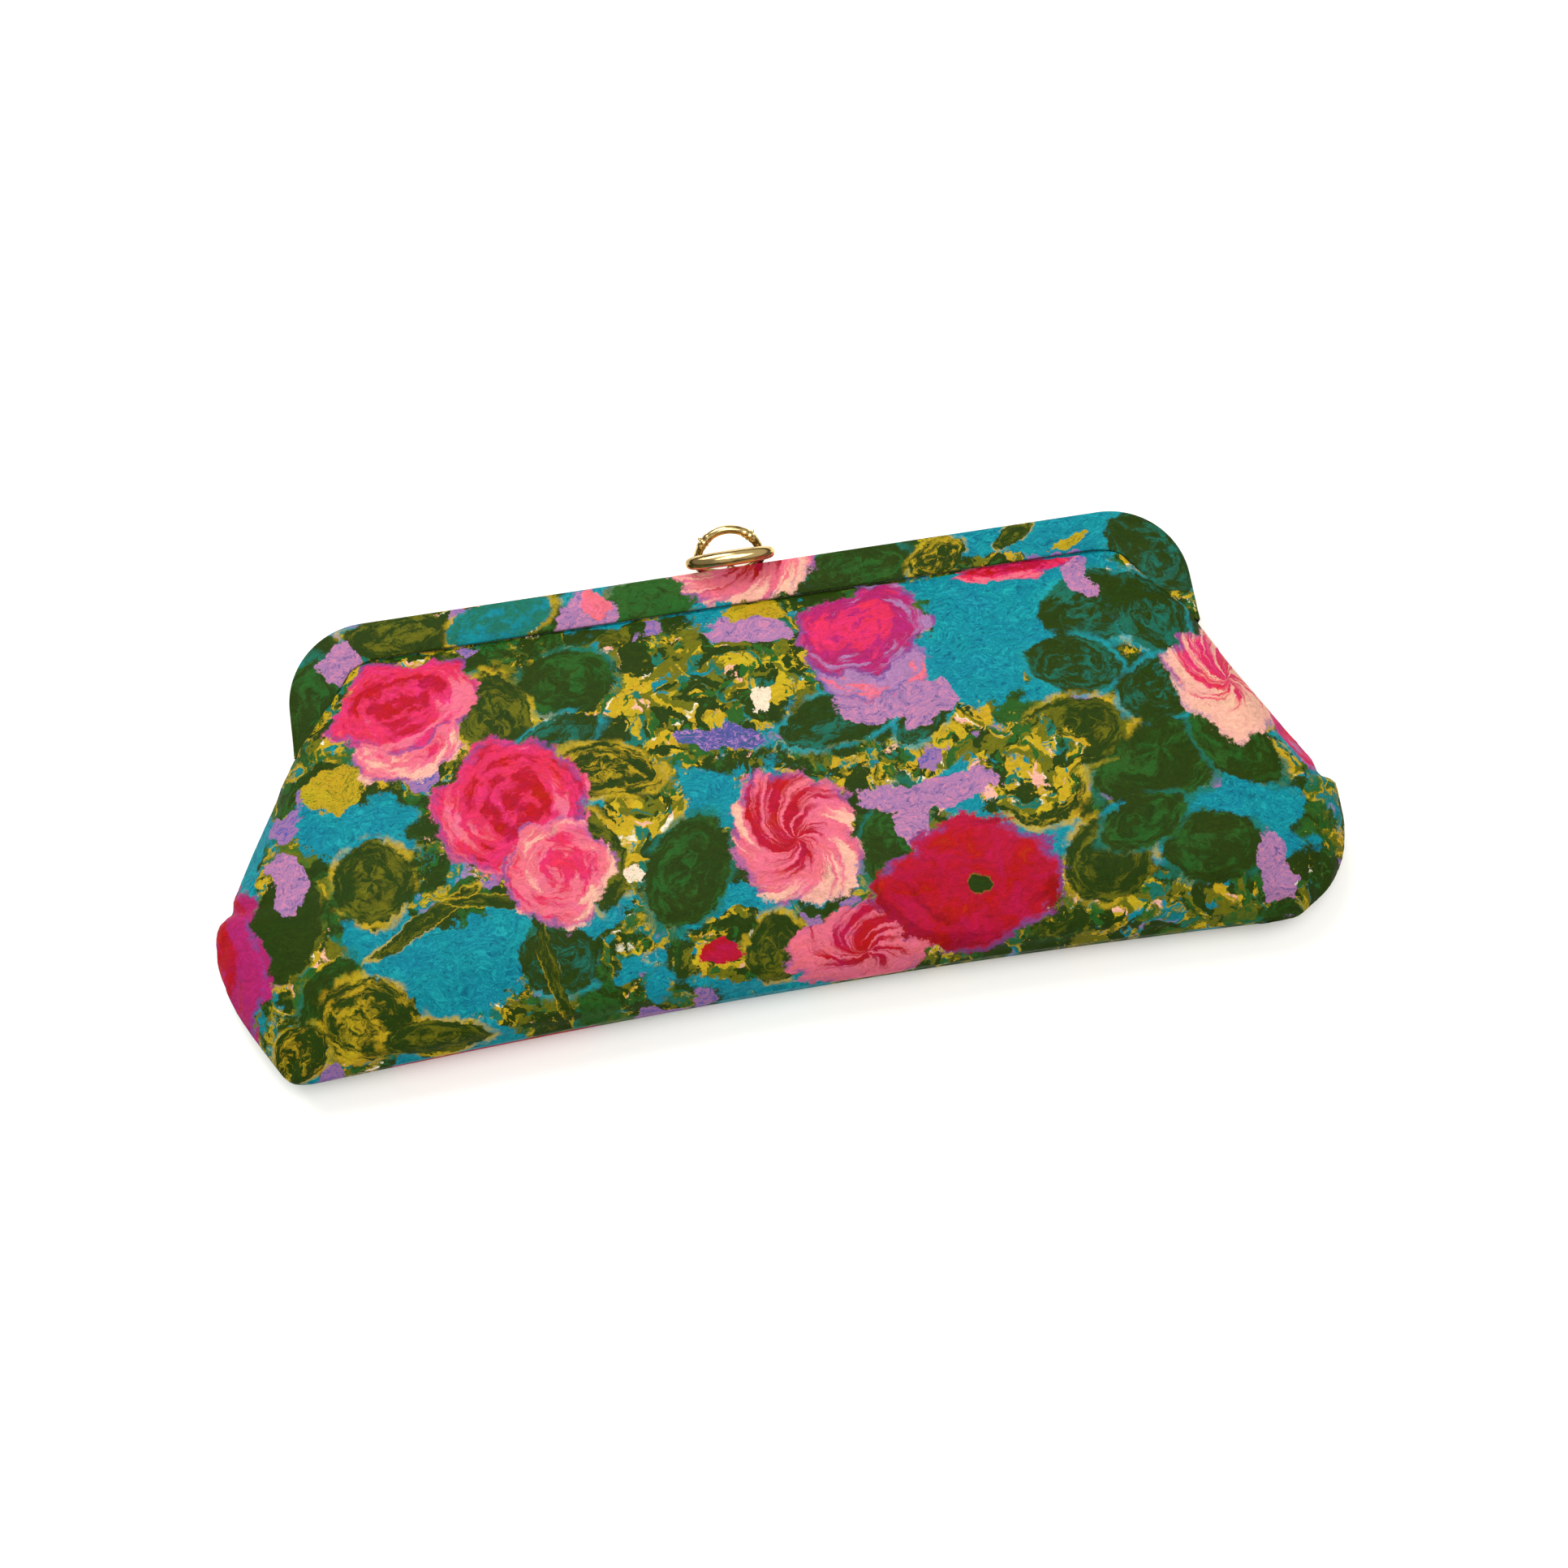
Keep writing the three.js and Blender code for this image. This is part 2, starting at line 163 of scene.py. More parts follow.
def grid_faces(rows, columns, join_columns=False, join_rows=False):
    """Quads of a rows x columns grid of vertices, optionally joined round."""
    faces = []
    for r in range(rows if join_rows else rows - 1):
        for c in range(columns if join_columns else columns - 1):
            r2, c2 = (r + 1) % rows, (c + 1) % columns
            faces.append((r * columns + c, r * columns + c2, r2 * columns + c2,
                          r2 * columns + c))
    return faces


def thicken(obj, thickness, offset):
    """Gives a sheet a thickness in millimetres, behind its faces (-1) or before them (1)."""
    modifier = obj.modifiers.new("Solidify", "SOLIDIFY")
    modifier.thickness = thickness * MM
    modifier.offset = offset
    graph = bpy.context.evaluated_depsgraph_get()
    mesh = bpy.data.meshes.new_from_object(obj.evaluated_get(graph))
    obj.modifiers.clear()
    obj.data = mesh


def place(obj, body, node):
    """Attaches a piece to the body it moves with, and hides the CAD node it stands for."""
    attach(obj, body)
    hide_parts(node)


# ---- shader building ----


class Nodes:
    """A thin wrapper that makes and links shader nodes in one tree."""

    def __init__(self, tree):
        self.tree = tree

    def add(self, kind, inputs=None, **settings):
        node = self.tree.nodes.new(kind)
        for key, value in settings.items():
            setattr(node, key, value)
        for key, value in (inputs or {}).items():
            self.set(node.inputs[key], value)
        return node

    def set(self, socket, value):
        if isinstance(value, bpy.types.NodeSocket):
            self.tree.links.new(value, socket)
        else:
            socket.default_value = value

    def math(self, operation, a, b=0.0):
        return self.add("ShaderNodeMath", {0: a, 1: b}, operation=operation).outputs[0]

    def plus(self, a, b):
        return self.math("ADD", a, b)

    def minus(self, a, b):
        return self.math("SUBTRACT", a, b)

    def times(self, a, b):
        return self.math("MULTIPLY", a, b)

    def vector(self, operation, a, b=(0, 0, 0)):
        node = self.add("ShaderNodeVectorMath", {0: a, 1: b}, operation=operation)
        return node.outputs["Value" if operation == "LENGTH" else 0]

    def moved(self, vector, by):
        return self.vector("ADD", vector, by)

    def scaled(self, vector, by):
        node = self.add("ShaderNodeVectorMath", {0: vector, "Scale": by}, operation="SCALE")
        return node.outputs[0]

    def mix(self, factor, a, b):
        """The colour a, or b where factor is 1."""
        return self.add("ShaderNodeMix", {0: factor, 6: a, 7: b}, data_type="RGBA").outputs[2]

    def noise(self, vector, scale, detail=2.0, roughness=0.5, distortion=0.0, output=0):
        node = self.add("ShaderNodeTexNoise", {
            "Vector": vector, "Scale": scale, "Detail": detail, "Roughness": roughness,
            "Distortion": distortion,
        })
        return node.outputs[output]

    def ramp(self, factor, stops):
        """A colour read off a row of (position, colour) stops."""
        node = self.add("ShaderNodeValToRGB", {0: factor})
        ramp = node.color_ramp
        while len(ramp.elements) < len(stops):
            ramp.elements.new(0.5)
        for element, (position, color) in zip(ramp.elements, stops):
            element.position = position
            element.color = color
        return node.outputs[0]

    def band(self, value, low, high):
        """0 below low, 1 above high, smooth between (either order)."""
        node = self.add("ShaderNodeMapRange", {
            "Value": value, "From Min": low, "From Max": high,
        }, interpolation_type="SMOOTHSTEP")
        return node.outputs[0]


def new_material(name):
    """An empty material, with its node helper and its surface shader."""
    material = bpy.data.materials.new(name)
    material.use_nodes = True
    nodes = Nodes(material.node_tree)
    shader = material.node_tree.nodes["Principled BSDF"]
    return material, nodes, shader


def set_surface(n, shader, height, strength, distance, values):
    """Sets the surface shader's inputs, and bumps it: a height of 1 is distance metres."""
    bump = n.add("ShaderNodeBump", {"Height": height, "Strength": strength,
                                    "Distance": distance})
    for key, value in {"Normal": bump.outputs[0], **values}.items():
        n.set(shader.inputs[key], value)


def new_group(name, inputs, outputs):
    """An empty shader group with the named sockets."""
    group = bpy.data.node_groups.new(name, "ShaderNodeTree")
    kinds = {"f": "NodeSocketFloat", "v": "NodeSocketVector", "c": "NodeSocketColor"}
    for label, kind in inputs:
        group.interface.new_socket(label, in_out="INPUT", socket_type=kinds[kind])
    for label, kind in outputs:
        group.interface.new_socket(label, in_out="OUTPUT", socket_type=kinds[kind])
    nodes = Nodes(group)
    source = nodes.add("NodeGroupInput").outputs
    target = nodes.add("NodeGroupOutput").inputs
    return group, nodes, source, target


# ---- the rose print ----

TURQUOISE = srgb(4, 116, 132)
DEEP_TURQUOISE = srgb(2, 86, 112)
PALE_TURQUOISE = srgb(18, 130, 138)
ROSE_LAVENDER = srgb(172, 106, 134)
TEAL = srgb(20, 98, 82)
DARK_GREEN = srgb(31, 51, 2)
MID_GREEN = srgb(34, 82, 26)
OLIVE = srgb(94, 94, 10)
YELLOW = srgb(172, 144, 22)
CRIMSON = srgb(160, 10, 38)
DEEP_RED = srgb(138, 4, 30)
HOT_PINK = srgb(194, 38, 82)
PINK = srgb(204, 94, 114)
PEACH = srgb(214, 158, 140)
LAVENDER = srgb(148, 106, 150)
VIOLET = srgb(70, 70, 136)
MAGENTA = srgb(154, 28, 92)
CREAM = srgb(212, 204, 180)

MARK_INPUTS = [("Vector", "v"), ("Under", "c"), ("Place", "v"), ("Turn", "v"), ("Size", "v"),
               ("Rough", "f")]


def mark_local(n, source):
    """The mark's own coordinates: its outline is about 1 from its middle."""
    return n.add("ShaderNodeMapping", {
        "Vector": source["Vector"], "Location": source["Place"],
        "Rotation": source["Turn"], "Scale": source["Size"],
    }, vector_type="TEXTURE").outputs[0]


def blot_group():
    """A loose patch of one colour, brushed over what is under it."""
    group, n, source, target = new_group("blot", MARK_INPUTS + [
        ("Over", "c"), ("Streak", "c"), ("Shade", "c"), ("Strokes", "f")], [("Color", "c")])
    edge = n.plus(n.vector("LENGTH", mark_local(n, source)), n.times(source["Rough"], 2.0))
    body = n.mix(n.band(source["Strokes"], 0.5, 0.62), source["Over"], source["Streak"])
    body = n.mix(n.times(n.band(source["Strokes"], 0.45, 0.36), 0.7), body, source["Shade"])
    n.set(target["Color"], n.mix(n.band(edge, 1.04, 0.96), source["Under"], body))
    return group


def leaf_group():
    """A rounded leaf: dark, brushed round its middle, with a thin glow round its edge."""
    group, n, source, target = new_group("leaf", MARK_INPUTS + [
        ("Over", "c"), ("Rim", "c"), ("Halo", "c")], [("Color", "c")])
    local = mark_local(n, source)
    axes = n.add("ShaderNodeSeparateXYZ", {0: local}).outputs
    pointed = n.plus(n.math("POWER", n.math("ABSOLUTE", axes[0]), 1.8),
                     n.math("POWER", n.math("ABSOLUTE", axes[1]), 1.7))
    edge = n.plus(pointed, n.times(source["Rough"], 1.7))
    seed = n.scaled(source["Place"], 90)
    around = n.scaled(n.vector("NORMALIZE", local), 0.8)
    curl = n.add("ShaderNodeCombineXYZ", {2: n.times(pointed, 2.4)}).outputs[0]
    wraps = n.noise(n.moved(n.moved(around, curl), seed), 1.3, 4, 0.72, 0.8)
    patches = n.noise(n.moved(local, seed), 1.1, 2, 0.5)
    tone = n.plus(n.times(wraps, 0.7), n.times(patches, 0.3))
    body = n.mix(n.times(n.band(tone, 0.475, 0.6), 0.85), source["Over"], source["Rim"])
    glow = n.times(n.band(edge, 1.45, 1.1), n.band(patches, 0.4, 0.54))
    halo = n.mix(n.times(glow, 0.8), source["Under"], source["Halo"])
    n.set(target["Color"], n.mix(n.band(edge, 1.08, 0.94), halo, body))
    return group


def bloom_group():
    """A rose: brushed petals, curling round a dark heart, out to a ragged pale edge.

    Across and Along say how finely the strokes divide the circle and the radius: few
    across and many along give petals that wrap round, the other way about gives petals
    that fan out.
    """
    group, n, source, target = new_group("bloom", MARK_INPUTS + [
        ("Heart", "c"), ("Petal", "c"), ("Light", "c"), ("Across", "f"), ("Along", "f")],
        [("Color", "c")])
    local = mark_local(n, source)
    reach = n.vector("LENGTH", local)
    curled = n.add("ShaderNodeVectorRotate", {
        "Vector": local, "Angle": n.times(reach, 1.7),
    }, rotation_type="Z_AXIS").outputs[0]
    around = n.scaled(n.vector("NORMALIZE", curled), source["Across"])
    polar = n.moved(around, n.add("ShaderNodeCombineXYZ", {
        2: n.times(reach, source["Along"])}).outputs[0])
    seed = n.scaled(source["Place"], 70)
    strokes = n.noise(n.moved(polar, seed), 1.0, 3.5, 0.62, 0.3)
    lobes = n.noise(n.moved(n.vector("NORMALIZE", local), seed), 1.5, 1, 0.5)
    edge = n.plus(n.times(n.minus(lobes, 0.5), 0.8), n.plus(reach, source["Rough"]))
    axes = n.add("ShaderNodeSeparateXYZ", {0: local}).outputs
    lean = n.times(axes[1], -0.16)
    tone = n.plus(n.times(reach, 0.42), lean)
    tone = n.plus(tone, n.times(n.minus(strokes, 0.5), 1.9))
    body = n.mix(n.band(tone, 0.06, 0.3), source["Heart"], source["Petal"])
    body = n.mix(n.band(tone, 0.4, 0.62), body, source["Light"])
    # A cool shadow where the flower meets the leaves.
    shadow = n.times(n.band(edge, 0.84, 0.98), n.band(strokes, 0.58, 0.42))
    body = n.mix(n.times(shadow, 0.7), body, VIOLET)
    n.set(target["Color"], n.mix(n.band(edge, 1.03, 0.96), source["Under"], body))
    return group


BLOT = blot_group()
LEAF = leaf_group()
BLOOM = bloom_group()

# Leaf bodies, and the light between leaves, as (position, colour) stops.
LEAF_COLORS = [
    (0.0, DARK_GREEN), (0.4, DARK_GREEN), (0.5, MID_GREEN), (0.56, DARK_GREEN),
    (0.66, DARK_GREEN), (0.74, OLIVE), (0.84, MID_GREEN), (0.95, TEAL)]
LEAF_LIGHTS = [(0.2, TEAL), (0.36, MID_GREEN), (0.44, OLIVE), (0.52, YELLOW), (0.6, TEAL),
               (0.72, TURQUOISE), (0.9, LAVENDER)]


def foliage(n, flow, scale, strokes, rough, colors, light_colors):
    """Two layers of rounded, brushed leaves, with light showing between them."""
    grain = n.noise(flow, scale * 3, 3, 0.65, 1.2)
    grain = n.minus(grain, 0.5)
    dapple = n.noise(n.moved(flow, (0.7, 0.3, 0)), scale * 1.3, 3, 0.6, 0.8)
    spread = n.plus(n.times(n.minus(dapple, 0.5), 1.9), 0.5)
    color = n.ramp(n.plus(spread, n.times(grain, 0.5)), light_colors)
    for shift, fineness, size in ((0.37, 1.15, 0.5), (0.0, 1.0, 0.47)):
        cells = n.add("ShaderNodeTexVoronoi", {
            "Vector": n.moved(flow, (shift, shift * 0.7, 0)),
            "Scale": scale * fineness, "Randomness": 0.9}, voronoi_dimensions="2D")
        tint = n.add("ShaderNodeSeparateColor", {0: cells.outputs["Color"]}).outputs
        pick = n.plus(n.times(tint[0], 0.85), n.times(grain, 0.4))
        edge = n.plus(cells.outputs["Distance"], n.times(rough, 0.4))
        edge = n.plus(edge, n.times(tint[1], 0.12))
        body = n.ramp(pick, colors)
        # A paler stroke round part of each leaf.
        turned = n.times(n.band(edge, size - 0.14, size - 0.02), n.band(strokes, 0.46, 0.6))
        body = n.mix(n.times(turned, 0.45), body, MID_GREEN)
        color = n.mix(n.band(edge, size + 0.03, size - 0.02), color, body)
    return color


def thicket(n, flow, scale, rough, color, layers):
    """Short curled brush strokes: each layer covers the last where its noise is high."""
    for index, (threshold, tint) in enumerate(layers):
        shift = (0.31 * index, 0.23 * index, 0)
        shape = n.noise(n.moved(flow, shift), scale, 3, 0.55, 1.6)
        shape = n.plus(shape, n.times(rough, 0.25))
        color = n.mix(n.band(shape, threshold, threshold + 0.03), color, tint)
    return color


# How high the noise must be for each colour to cover those before it.
SPRIG_LAYERS = [(0.62, CREAM), (0.6, PEACH), (0.5, OLIVE), (0.57, TEAL), (0.62, TURQUOISE),
                (0.51, DARK_GREEN), (0.57, MID_GREEN), (0.6, OLIVE), (0.63, YELLOW)]

# The glow round a leaf by its rim colour, and the paler and darker strokes in a patch.
HALOS = {TEAL: PALE_TURQUOISE, MID_GREEN: TEAL, DARK_GREEN: OLIVE, OLIVE: YELLOW}
STREAKS = {TURQUOISE: PALE_TURQUOISE, LAVENDER: ROSE_LAVENDER, VIOLET: LAVENDER,
           YELLOW: OLIVE, CREAM: PEACH, PEACH: YELLOW}
SHADES = {TURQUOISE: DEEP_TURQUOISE, LAVENDER: VIOLET, VIOLET: TEAL, YELLOW: OLIVE,
          CREAM: YELLOW, PEACH: LAVENDER}


def print_material(name, marks):
    """Brushed rose-print cotton. marks are laid in order over foliage on turquoise.

    A mark is (kind, x, y, half width, half height, turn in degrees, its colours). A leaf
    is dark green, unless another colour comes before its rim's.
    """
    material, n, shader = new_material(name)
    uv = n.add("ShaderNodeUVMap", uv_map="print").outputs[0]
    half = (0.5, 0.5, 0.5)
    coarse = n.vector("SUBTRACT", n.noise(uv, 95, 2, 0.5, output=1), half)
    fine = n.vector("SUBTRACT", n.noise(uv, 420, 3, 0.6, output=1), half)
    fray = n.scaled(fine, 0.0028)
    flow = n.moved(uv, n.moved(n.scaled(coarse, 0.011), fray))
    frayed = n.moved(uv, n.moved(n.scaled(coarse, 0.0035), fray))
    rough = n.times(n.minus(n.noise(uv, 330, 4, 0.75), 0.5), 0.42)
    strokes = n.noise(n.vector("MULTIPLY", flow, (1.0, 2.4, 1.0)), 420, 4, 0.7, 1.5)

    # Large leaves and small curled sprigs, in masses over open turquoise.
    ground = n.mix(n.band(strokes, 0.48, 0.66), TURQUOISE, PALE_TURQUOISE)
    ground = n.mix(n.band(strokes, 0.44, 0.3), ground, DEEP_TURQUOISE)
    large = foliage(n, flow, 72, strokes, rough, LEAF_COLORS, LEAF_LIGHTS)
    small = thicket(n, flow, 82, rough, YELLOW, SPRIG_LAYERS)
    busy = n.noise(flow, 34, 2, 0.5)
    leaves = n.mix(n.band(n.plus(busy, rough), 0.52, 0.56), large, small)
    masses = n.noise(n.moved(flow, (0.2, 0.1, 0)), 38, 2, 0.5)
    color = n.mix(n.band(n.plus(masses, n.times(rough, 0.3)), 0.42, 0.45), ground, leaves)
    # Scattered lavender tufts.
    tufts = n.noise(n.moved(flow, (0.31, 0.17, 0)), 60, 2, 0.5)
    tufts = n.plus(tufts, n.times(rough, 0.3))
    soft = n.mix(n.band(strokes, 0.45, 0.62), LAVENDER, VIOLET)
    color = n.mix(n.band(tufts, 0.645, 0.66), color, soft)

    for kind, x, y, width, height, turn, *colors in marks:
        group = {"blot": BLOT, "sprigs": BLOT, "leaf": LEAF, "rose": BLOOM, "fan": BLOOM}[kind]
        mark = n.add("ShaderNodeGroup", node_tree=group)
        # Ink creeps a little along what it is laid over. This also makes the shader work
        # the marks out one after another, so it never has to hold them all at once.
        creep = n.scaled(color, 0.0004)
        values = {
            "Vector": n.moved(flow if group is BLOT else frayed, creep),
            "Under": color,
            "Place": (x * MM, y * MM, 0), "Turn": (0, 0, math.radians(turn)),
            "Size": (width * MM, height * MM, 1), "Rough": rough,
        }
        if group is LEAF:
            *body, rim = colors
            values.update({"Over": body[0] if body else DARK_GREEN, "Rim": rim,
                           "Halo": HALOS.get(rim, YELLOW)})
        elif group is BLOOM:
            values.update(zip(("Heart", "Petal", "Light"), colors))
            values["Across"], values["Along"] = (2.6, 0.6) if kind == "fan" else (0.9, 4.5)
        else:
            over = small if kind == "sprigs" else colors[0]
            values.update({"Over": over, "Streak": STREAKS.get(over, over),
                           "Shade": SHADES.get(over, over), "Strokes": strokes})
        for key, value in values.items():
            n.set(mark.inputs[key], value)
        color = mark.outputs[0]

    # Dry-brush streaks and the slightly uneven ink of a screen print.
    wander = n.noise(n.moved(flow, (0.5, 0.2, 0)), 130, 3, 0.6, 0.8)
    streaked = n.add("ShaderNodeHueSaturation", {
        "Color": color, "Value": n.plus(0.28, n.times(strokes, 1.44)),
        "Hue": n.plus(0.47, n.times(wander, 0.06)),
    }).outputs[0]
    flecks = n.band(n.noise(n.vector("MULTIPLY", flow, (1, 2.0, 1)), 800, 3, 0.75, 1.0),
                    0.66, 0.78)
    color = n.mix(n.times(flecks, 0.1), streaked, CREAM)

    # Plain weave: two crossed thread directions, 0.45 mm apart.
    weave = []
    for direction in ("X", "Y"):
        wave = n.add("ShaderNodeTexWave", {
            "Vector": uv, "Scale": 700.0, "Distortion": 0.6, "Detail": 1.0,
        }, bands_direction=direction)
        weave.append(wave.outputs["Fac"])
    threads = n.math("MAXIMUM", *weave)
    slub = n.noise(n.vector("MULTIPLY", uv, (1, 6, 1)), 300, 2, 0.6)
    height = n.plus(n.times(threads, 0.6), n.times(slub, 0.4))
    set_surface(n, shader, height, 0.18, 0.0003, {
        "Base Color": color, "Roughness": n.plus(0.5, n.times(slub, 0.2)),
        "Specular IOR Level": 0.08, "Sheen Weight": 0.01, "Sheen Roughness": 0.4})
    return material


FRONT_MARKS = [
    # Open turquoise, then leaf masses, then small patches.
    ("blot", -86, -44, 24, 12, 10, TURQUOISE),
    ("blot", -102, -5, 14, 8, -30, TURQUOISE),
    ("blot", -55, -34, 18, 7, 0, TURQUOISE),
    ("blot", 54, 15, 15, 14, 0, TURQUOISE),
    ("blot", 44, 37, 18, 4, 0, TURQUOISE),
    ("blot", 62, 30, 16, 9, 0, TURQUOISE),
    ("blot", 114, -29, 6, 9, -30, TURQUOISE),
    ("blot", -14, -43, 12, 9, 0, TURQUOISE),
    ("leaf", 88, 25, 15, 11, 20, TEAL),
    ("leaf", 79, 9, 12, 8, -20, TEAL),
    ("leaf", 102, 20, 9, 15, 20, TEAL),
    ("leaf", 96, -16, 20, 13, 25, MID_GREEN),
    ("leaf", 74, -9, 16, 9, 8, OLIVE),
    ("leaf", 115, -16, 14, 9, -50, MID_GREEN),
    ("leaf", 104, -42, 13, 9, 0, MID_GREEN),
    ("leaf", 100, 0, 12, 8, 20, TEAL),
    ("leaf", 78, -42, 12, 10, 30, OLIVE),
    ("leaf", 66, -24, 10, 8, 20, YELLOW),
    ("leaf", 88, -34, 12, 6, 20, MID_GREEN),
    ("sprigs", -22, 16, 40, 19, 14),
    ("sprigs", -30, -14, 10, 20, 0),
    ("sprigs", 62, -16, 14, 12, 0),
    ("sprigs", -14, -50, 12, 10, 0),
    ("leaf", -45, 26, 12, 10, -10, MID_GREEN),
    ("leaf", -63, 18, 9, 14, 10, OLIVE),
    ("leaf", -50, 9, 13, 6, 20, TEAL),
    ("leaf", -38, 0, 14, 7, -15, YELLOW),
    ("leaf", -22, -29, 10, 15, -30, MID_GREEN),
    ("leaf", -44, -22, 8, 13, 10, OLIVE),
    ("leaf", -97, -18, 10, 10, 10, OLIVE),
    ("leaf", -120, -24, 9, 13, -20, DARK_GREEN),
    ("leaf", -112, -44, 12, 7, 50, MID_GREEN),
    ("leaf", -103, -50, 13, 10, -20, YELLOW),
    ("leaf", -56, -44, 9, 10, 40, TEAL),
    ("leaf", 28, -29, 8, 15, -20, MID_GREEN),
    ("leaf", 20, 4, 16, 7, 10, TEAL),
    ("leaf", 40, 2, 9, 6, 50, TEAL),
    ("leaf", -4, -52, 8, 9, 0, OLIVE),
    ("leaf", -58, -46, 1.9, 16, 8, OLIVE),
    ("leaf", -86, -30, 15, 2.0, 24, OLIVE),
    ("leaf", -122, -54, 9, 7, 30, YELLOW),
    ("leaf", -88, -58, 13, 5, -8, OLIVE),
    ("leaf", -66, -29, 14, 1.8, -12, OLIVE),
    ("blot", -104, 6, 9, 6, 15, YELLOW),
    ("blot", -10, 4, 10, 3, -10, VIOLET),
    ("blot", 2, 33, 12, 4, -12, LAVENDER),
    ("blot", 4, 38, 8, 3, -12, YELLOW),
    ("blot", 42, 4, 7, 5, 10, LAVENDER),
    ("blot", 30, 9, 12, 7, 10, LAVENDER),
    ("blot", 38, -18, 17, 4, -5, LAVENDER),
    ("blot", 33, -26, 4, 8, 0, LAVENDER),
    ("blot", 86, 34, 4.5, 7, 10, LAVENDER),
    ("blot", -118, -13, 5, 7, 20, LAVENDER),
    ("blot", 119, -49, 5, 9, 10, LAVENDER),
    ("blot", 2, 12, 3, 4, 0, CREAM),
    ("blot", -34, -27, 3, 3, 0, CREAM),
    # Roses.
    ("rose", 29, 17, 14, 9, -10, LAVENDER, LAVENDER, PINK),
    ("rose", 29, 28, 17, 14, 20, HOT_PINK, MAGENTA, LAVENDER),
    ("rose", -86, 16, 15, 11, 0, HOT_PINK, PINK, PEACH),
    ("rose", -86, 27, 18.5, 14, 10, CRIMSON, HOT_PINK, PINK),
    ("rose", -61, -6, 18, 18, 0, CRIMSON, HOT_PINK, PINK),
    ("rose", -52, -23, 13.5, 13, 40, HOT_PINK, PINK, PEACH),
    ("fan", 5, -25, 15.5, 18, 0, CRIMSON, PINK, PEACH),
    ("fan", 17, -56, 18, 11, 0, CRIMSON, PINK, PINK),
    ("rose", 44, -43, 22.5, 17, 5, CRIMSON, CRIMSON, DEEP_RED),
    ("leaf", 46, -44, 2.6, 2.6, 0, DARK_GREEN),
    ("blot", -17, -51, 5, 3, 0, CRIMSON),
    ("fan", 119, 1, 16, 18, 30, HOT_PINK, PEACH, PEACH),
    ("rose", 138, -14, 9, 11, 30, MAGENTA, HOT_PINK, LAVENDER),
    ("rose", -144, -26, 18, 22, 10, CRIMSON, MAGENTA, MAGENTA),
    ("rose", 70, 40, 15, 4, 0, CRIMSON, HOT_PINK, PINK),
]

BACK_MARKS = [
    ("blot", -30, -20, 30, 12, 10, TURQUOISE),
    ("blot", 72, 10, 22, 14, -15, TURQUOISE),
    ("leaf", 100, -42, 16, 10, 0, MID_GREEN),
    ("leaf", 0, 24, 20, 9, 0, OLIVE, DARK_GREEN),
    ("blot", -70, 26, 9, 7, 0, LAVENDER),
    ("leaf", -10, -38, 16, 10, 30, OLIVE, YELLOW),
    ("leaf", 92, -10, 14, 9, -30, TEAL),
    ("leaf", -112, 0, 14, 9, 60, OLIVE, YELLOW),
    ("rose", -92, -26, 21, 18, 20, CRIMSON, HOT_PINK, PINK),
    ("rose", -74, -62, 26, 14, 0, CRIMSON, CRIMSON, HOT_PINK),
    ("rose", -46, 8, 16, 15, -20, HOT_PINK, PINK, PEACH),
    ("fan", 22, -18, 18, 17, 0, CRIMSON, PINK, PEACH),
    ("rose", 62, -42, 20, 16, 0, DEEP_RED, CRIMSON, HOT_PINK),
    ("rose", 112, 2, 17, 18, 10, CRIMSON, HOT_PINK, LAVENDER),
    ("rose", 36, 30, 17, 13, 0, MAGENTA, HOT_PINK, LAVENDER),
]

COVER_MARKS = [
    ("blot", 80, 48, 30, 6, 0, TURQUOISE),
    ("leaf", 106, 38, 9, 14, 40, TEAL),
    ("leaf", 32, 46, 14, 7, 0, MID_GREEN),
    ("leaf", 52, 45, 8, 5, 20, YELLOW),
    ("leaf", 72, 48, 6, 2.5, 30, OLIVE),
    ("blot", 86, 44, 5, 2, 10, YELLOW),
    ("leaf", -86, 46, 14, 7, 0, OLIVE),
    ("leaf", -108, 28, 9, 15, 0, MID_GREEN),
    ("leaf", -22, 45, 12, 7, 0, MID_GREEN, DARK_GREEN),
    ("leaf", -60, 46, 14, 6, 10, TEAL, TURQUOISE),
    ("blot", -101, 41, 5, 4, -30, LAVENDER),
    ("blot", -38, 44, 8, 5, 0, LAVENDER),
    ("blot", -36, 46, 4, 3, 0, PINK),
    ("fan", 3, 57, 21, 17, 10, CRIMSON, PINK, PEACH),
]

PRINT_FRONT = print_material("print_front", FRONT_MARKS)
PRINT_BACK = print_material("print_back", BACK_MARKS)
PRINT_COVER = print_material("print_cover", COVER_MARKS)

# ---- other materials ----


def metal_material(name, color, roughness, scratch):
    """Plated metal: fine random scratches and faint clouding in its roughness, with painted
    dark reflections: its colour darkened in cloudy patches.
    """
    material, n, shader = new_material(name)
    where = n.add("ShaderNodeTexCoord").outputs["Object"]
    # Cloudy patches: painted dark reflections in the colour, and, with the lines, wear in the
    # roughness.
    painted_reflection_and_wear_clouds = n.noise(n.vector("MULTIPLY", where, (0.5, 1.6, 1.6)), 260, 2, 0.5)
    lines = n.noise(n.vector("MULTIPLY", where, (1, 12, 12)), 900, 2, 0.7)
    # Painted dark reflection: the metal's colour at 45 percent, laid on in the cloudy patches.
    dark = tuple(c * 0.45 for c in color[:3]) + (1.0,)
    wear = n.times(n.times(painted_reflection_and_wear_clouds, lines), scratch)
    set_surface(n, shader, lines, 0.05, 0.0001, {
        "Base Color": n.mix(n.band(painted_reflection_and_wear_clouds, 0.46, 0.58), color, dark),
        "Roughness": n.plus(roughness, wear), "Metallic": 1.0})
    return material


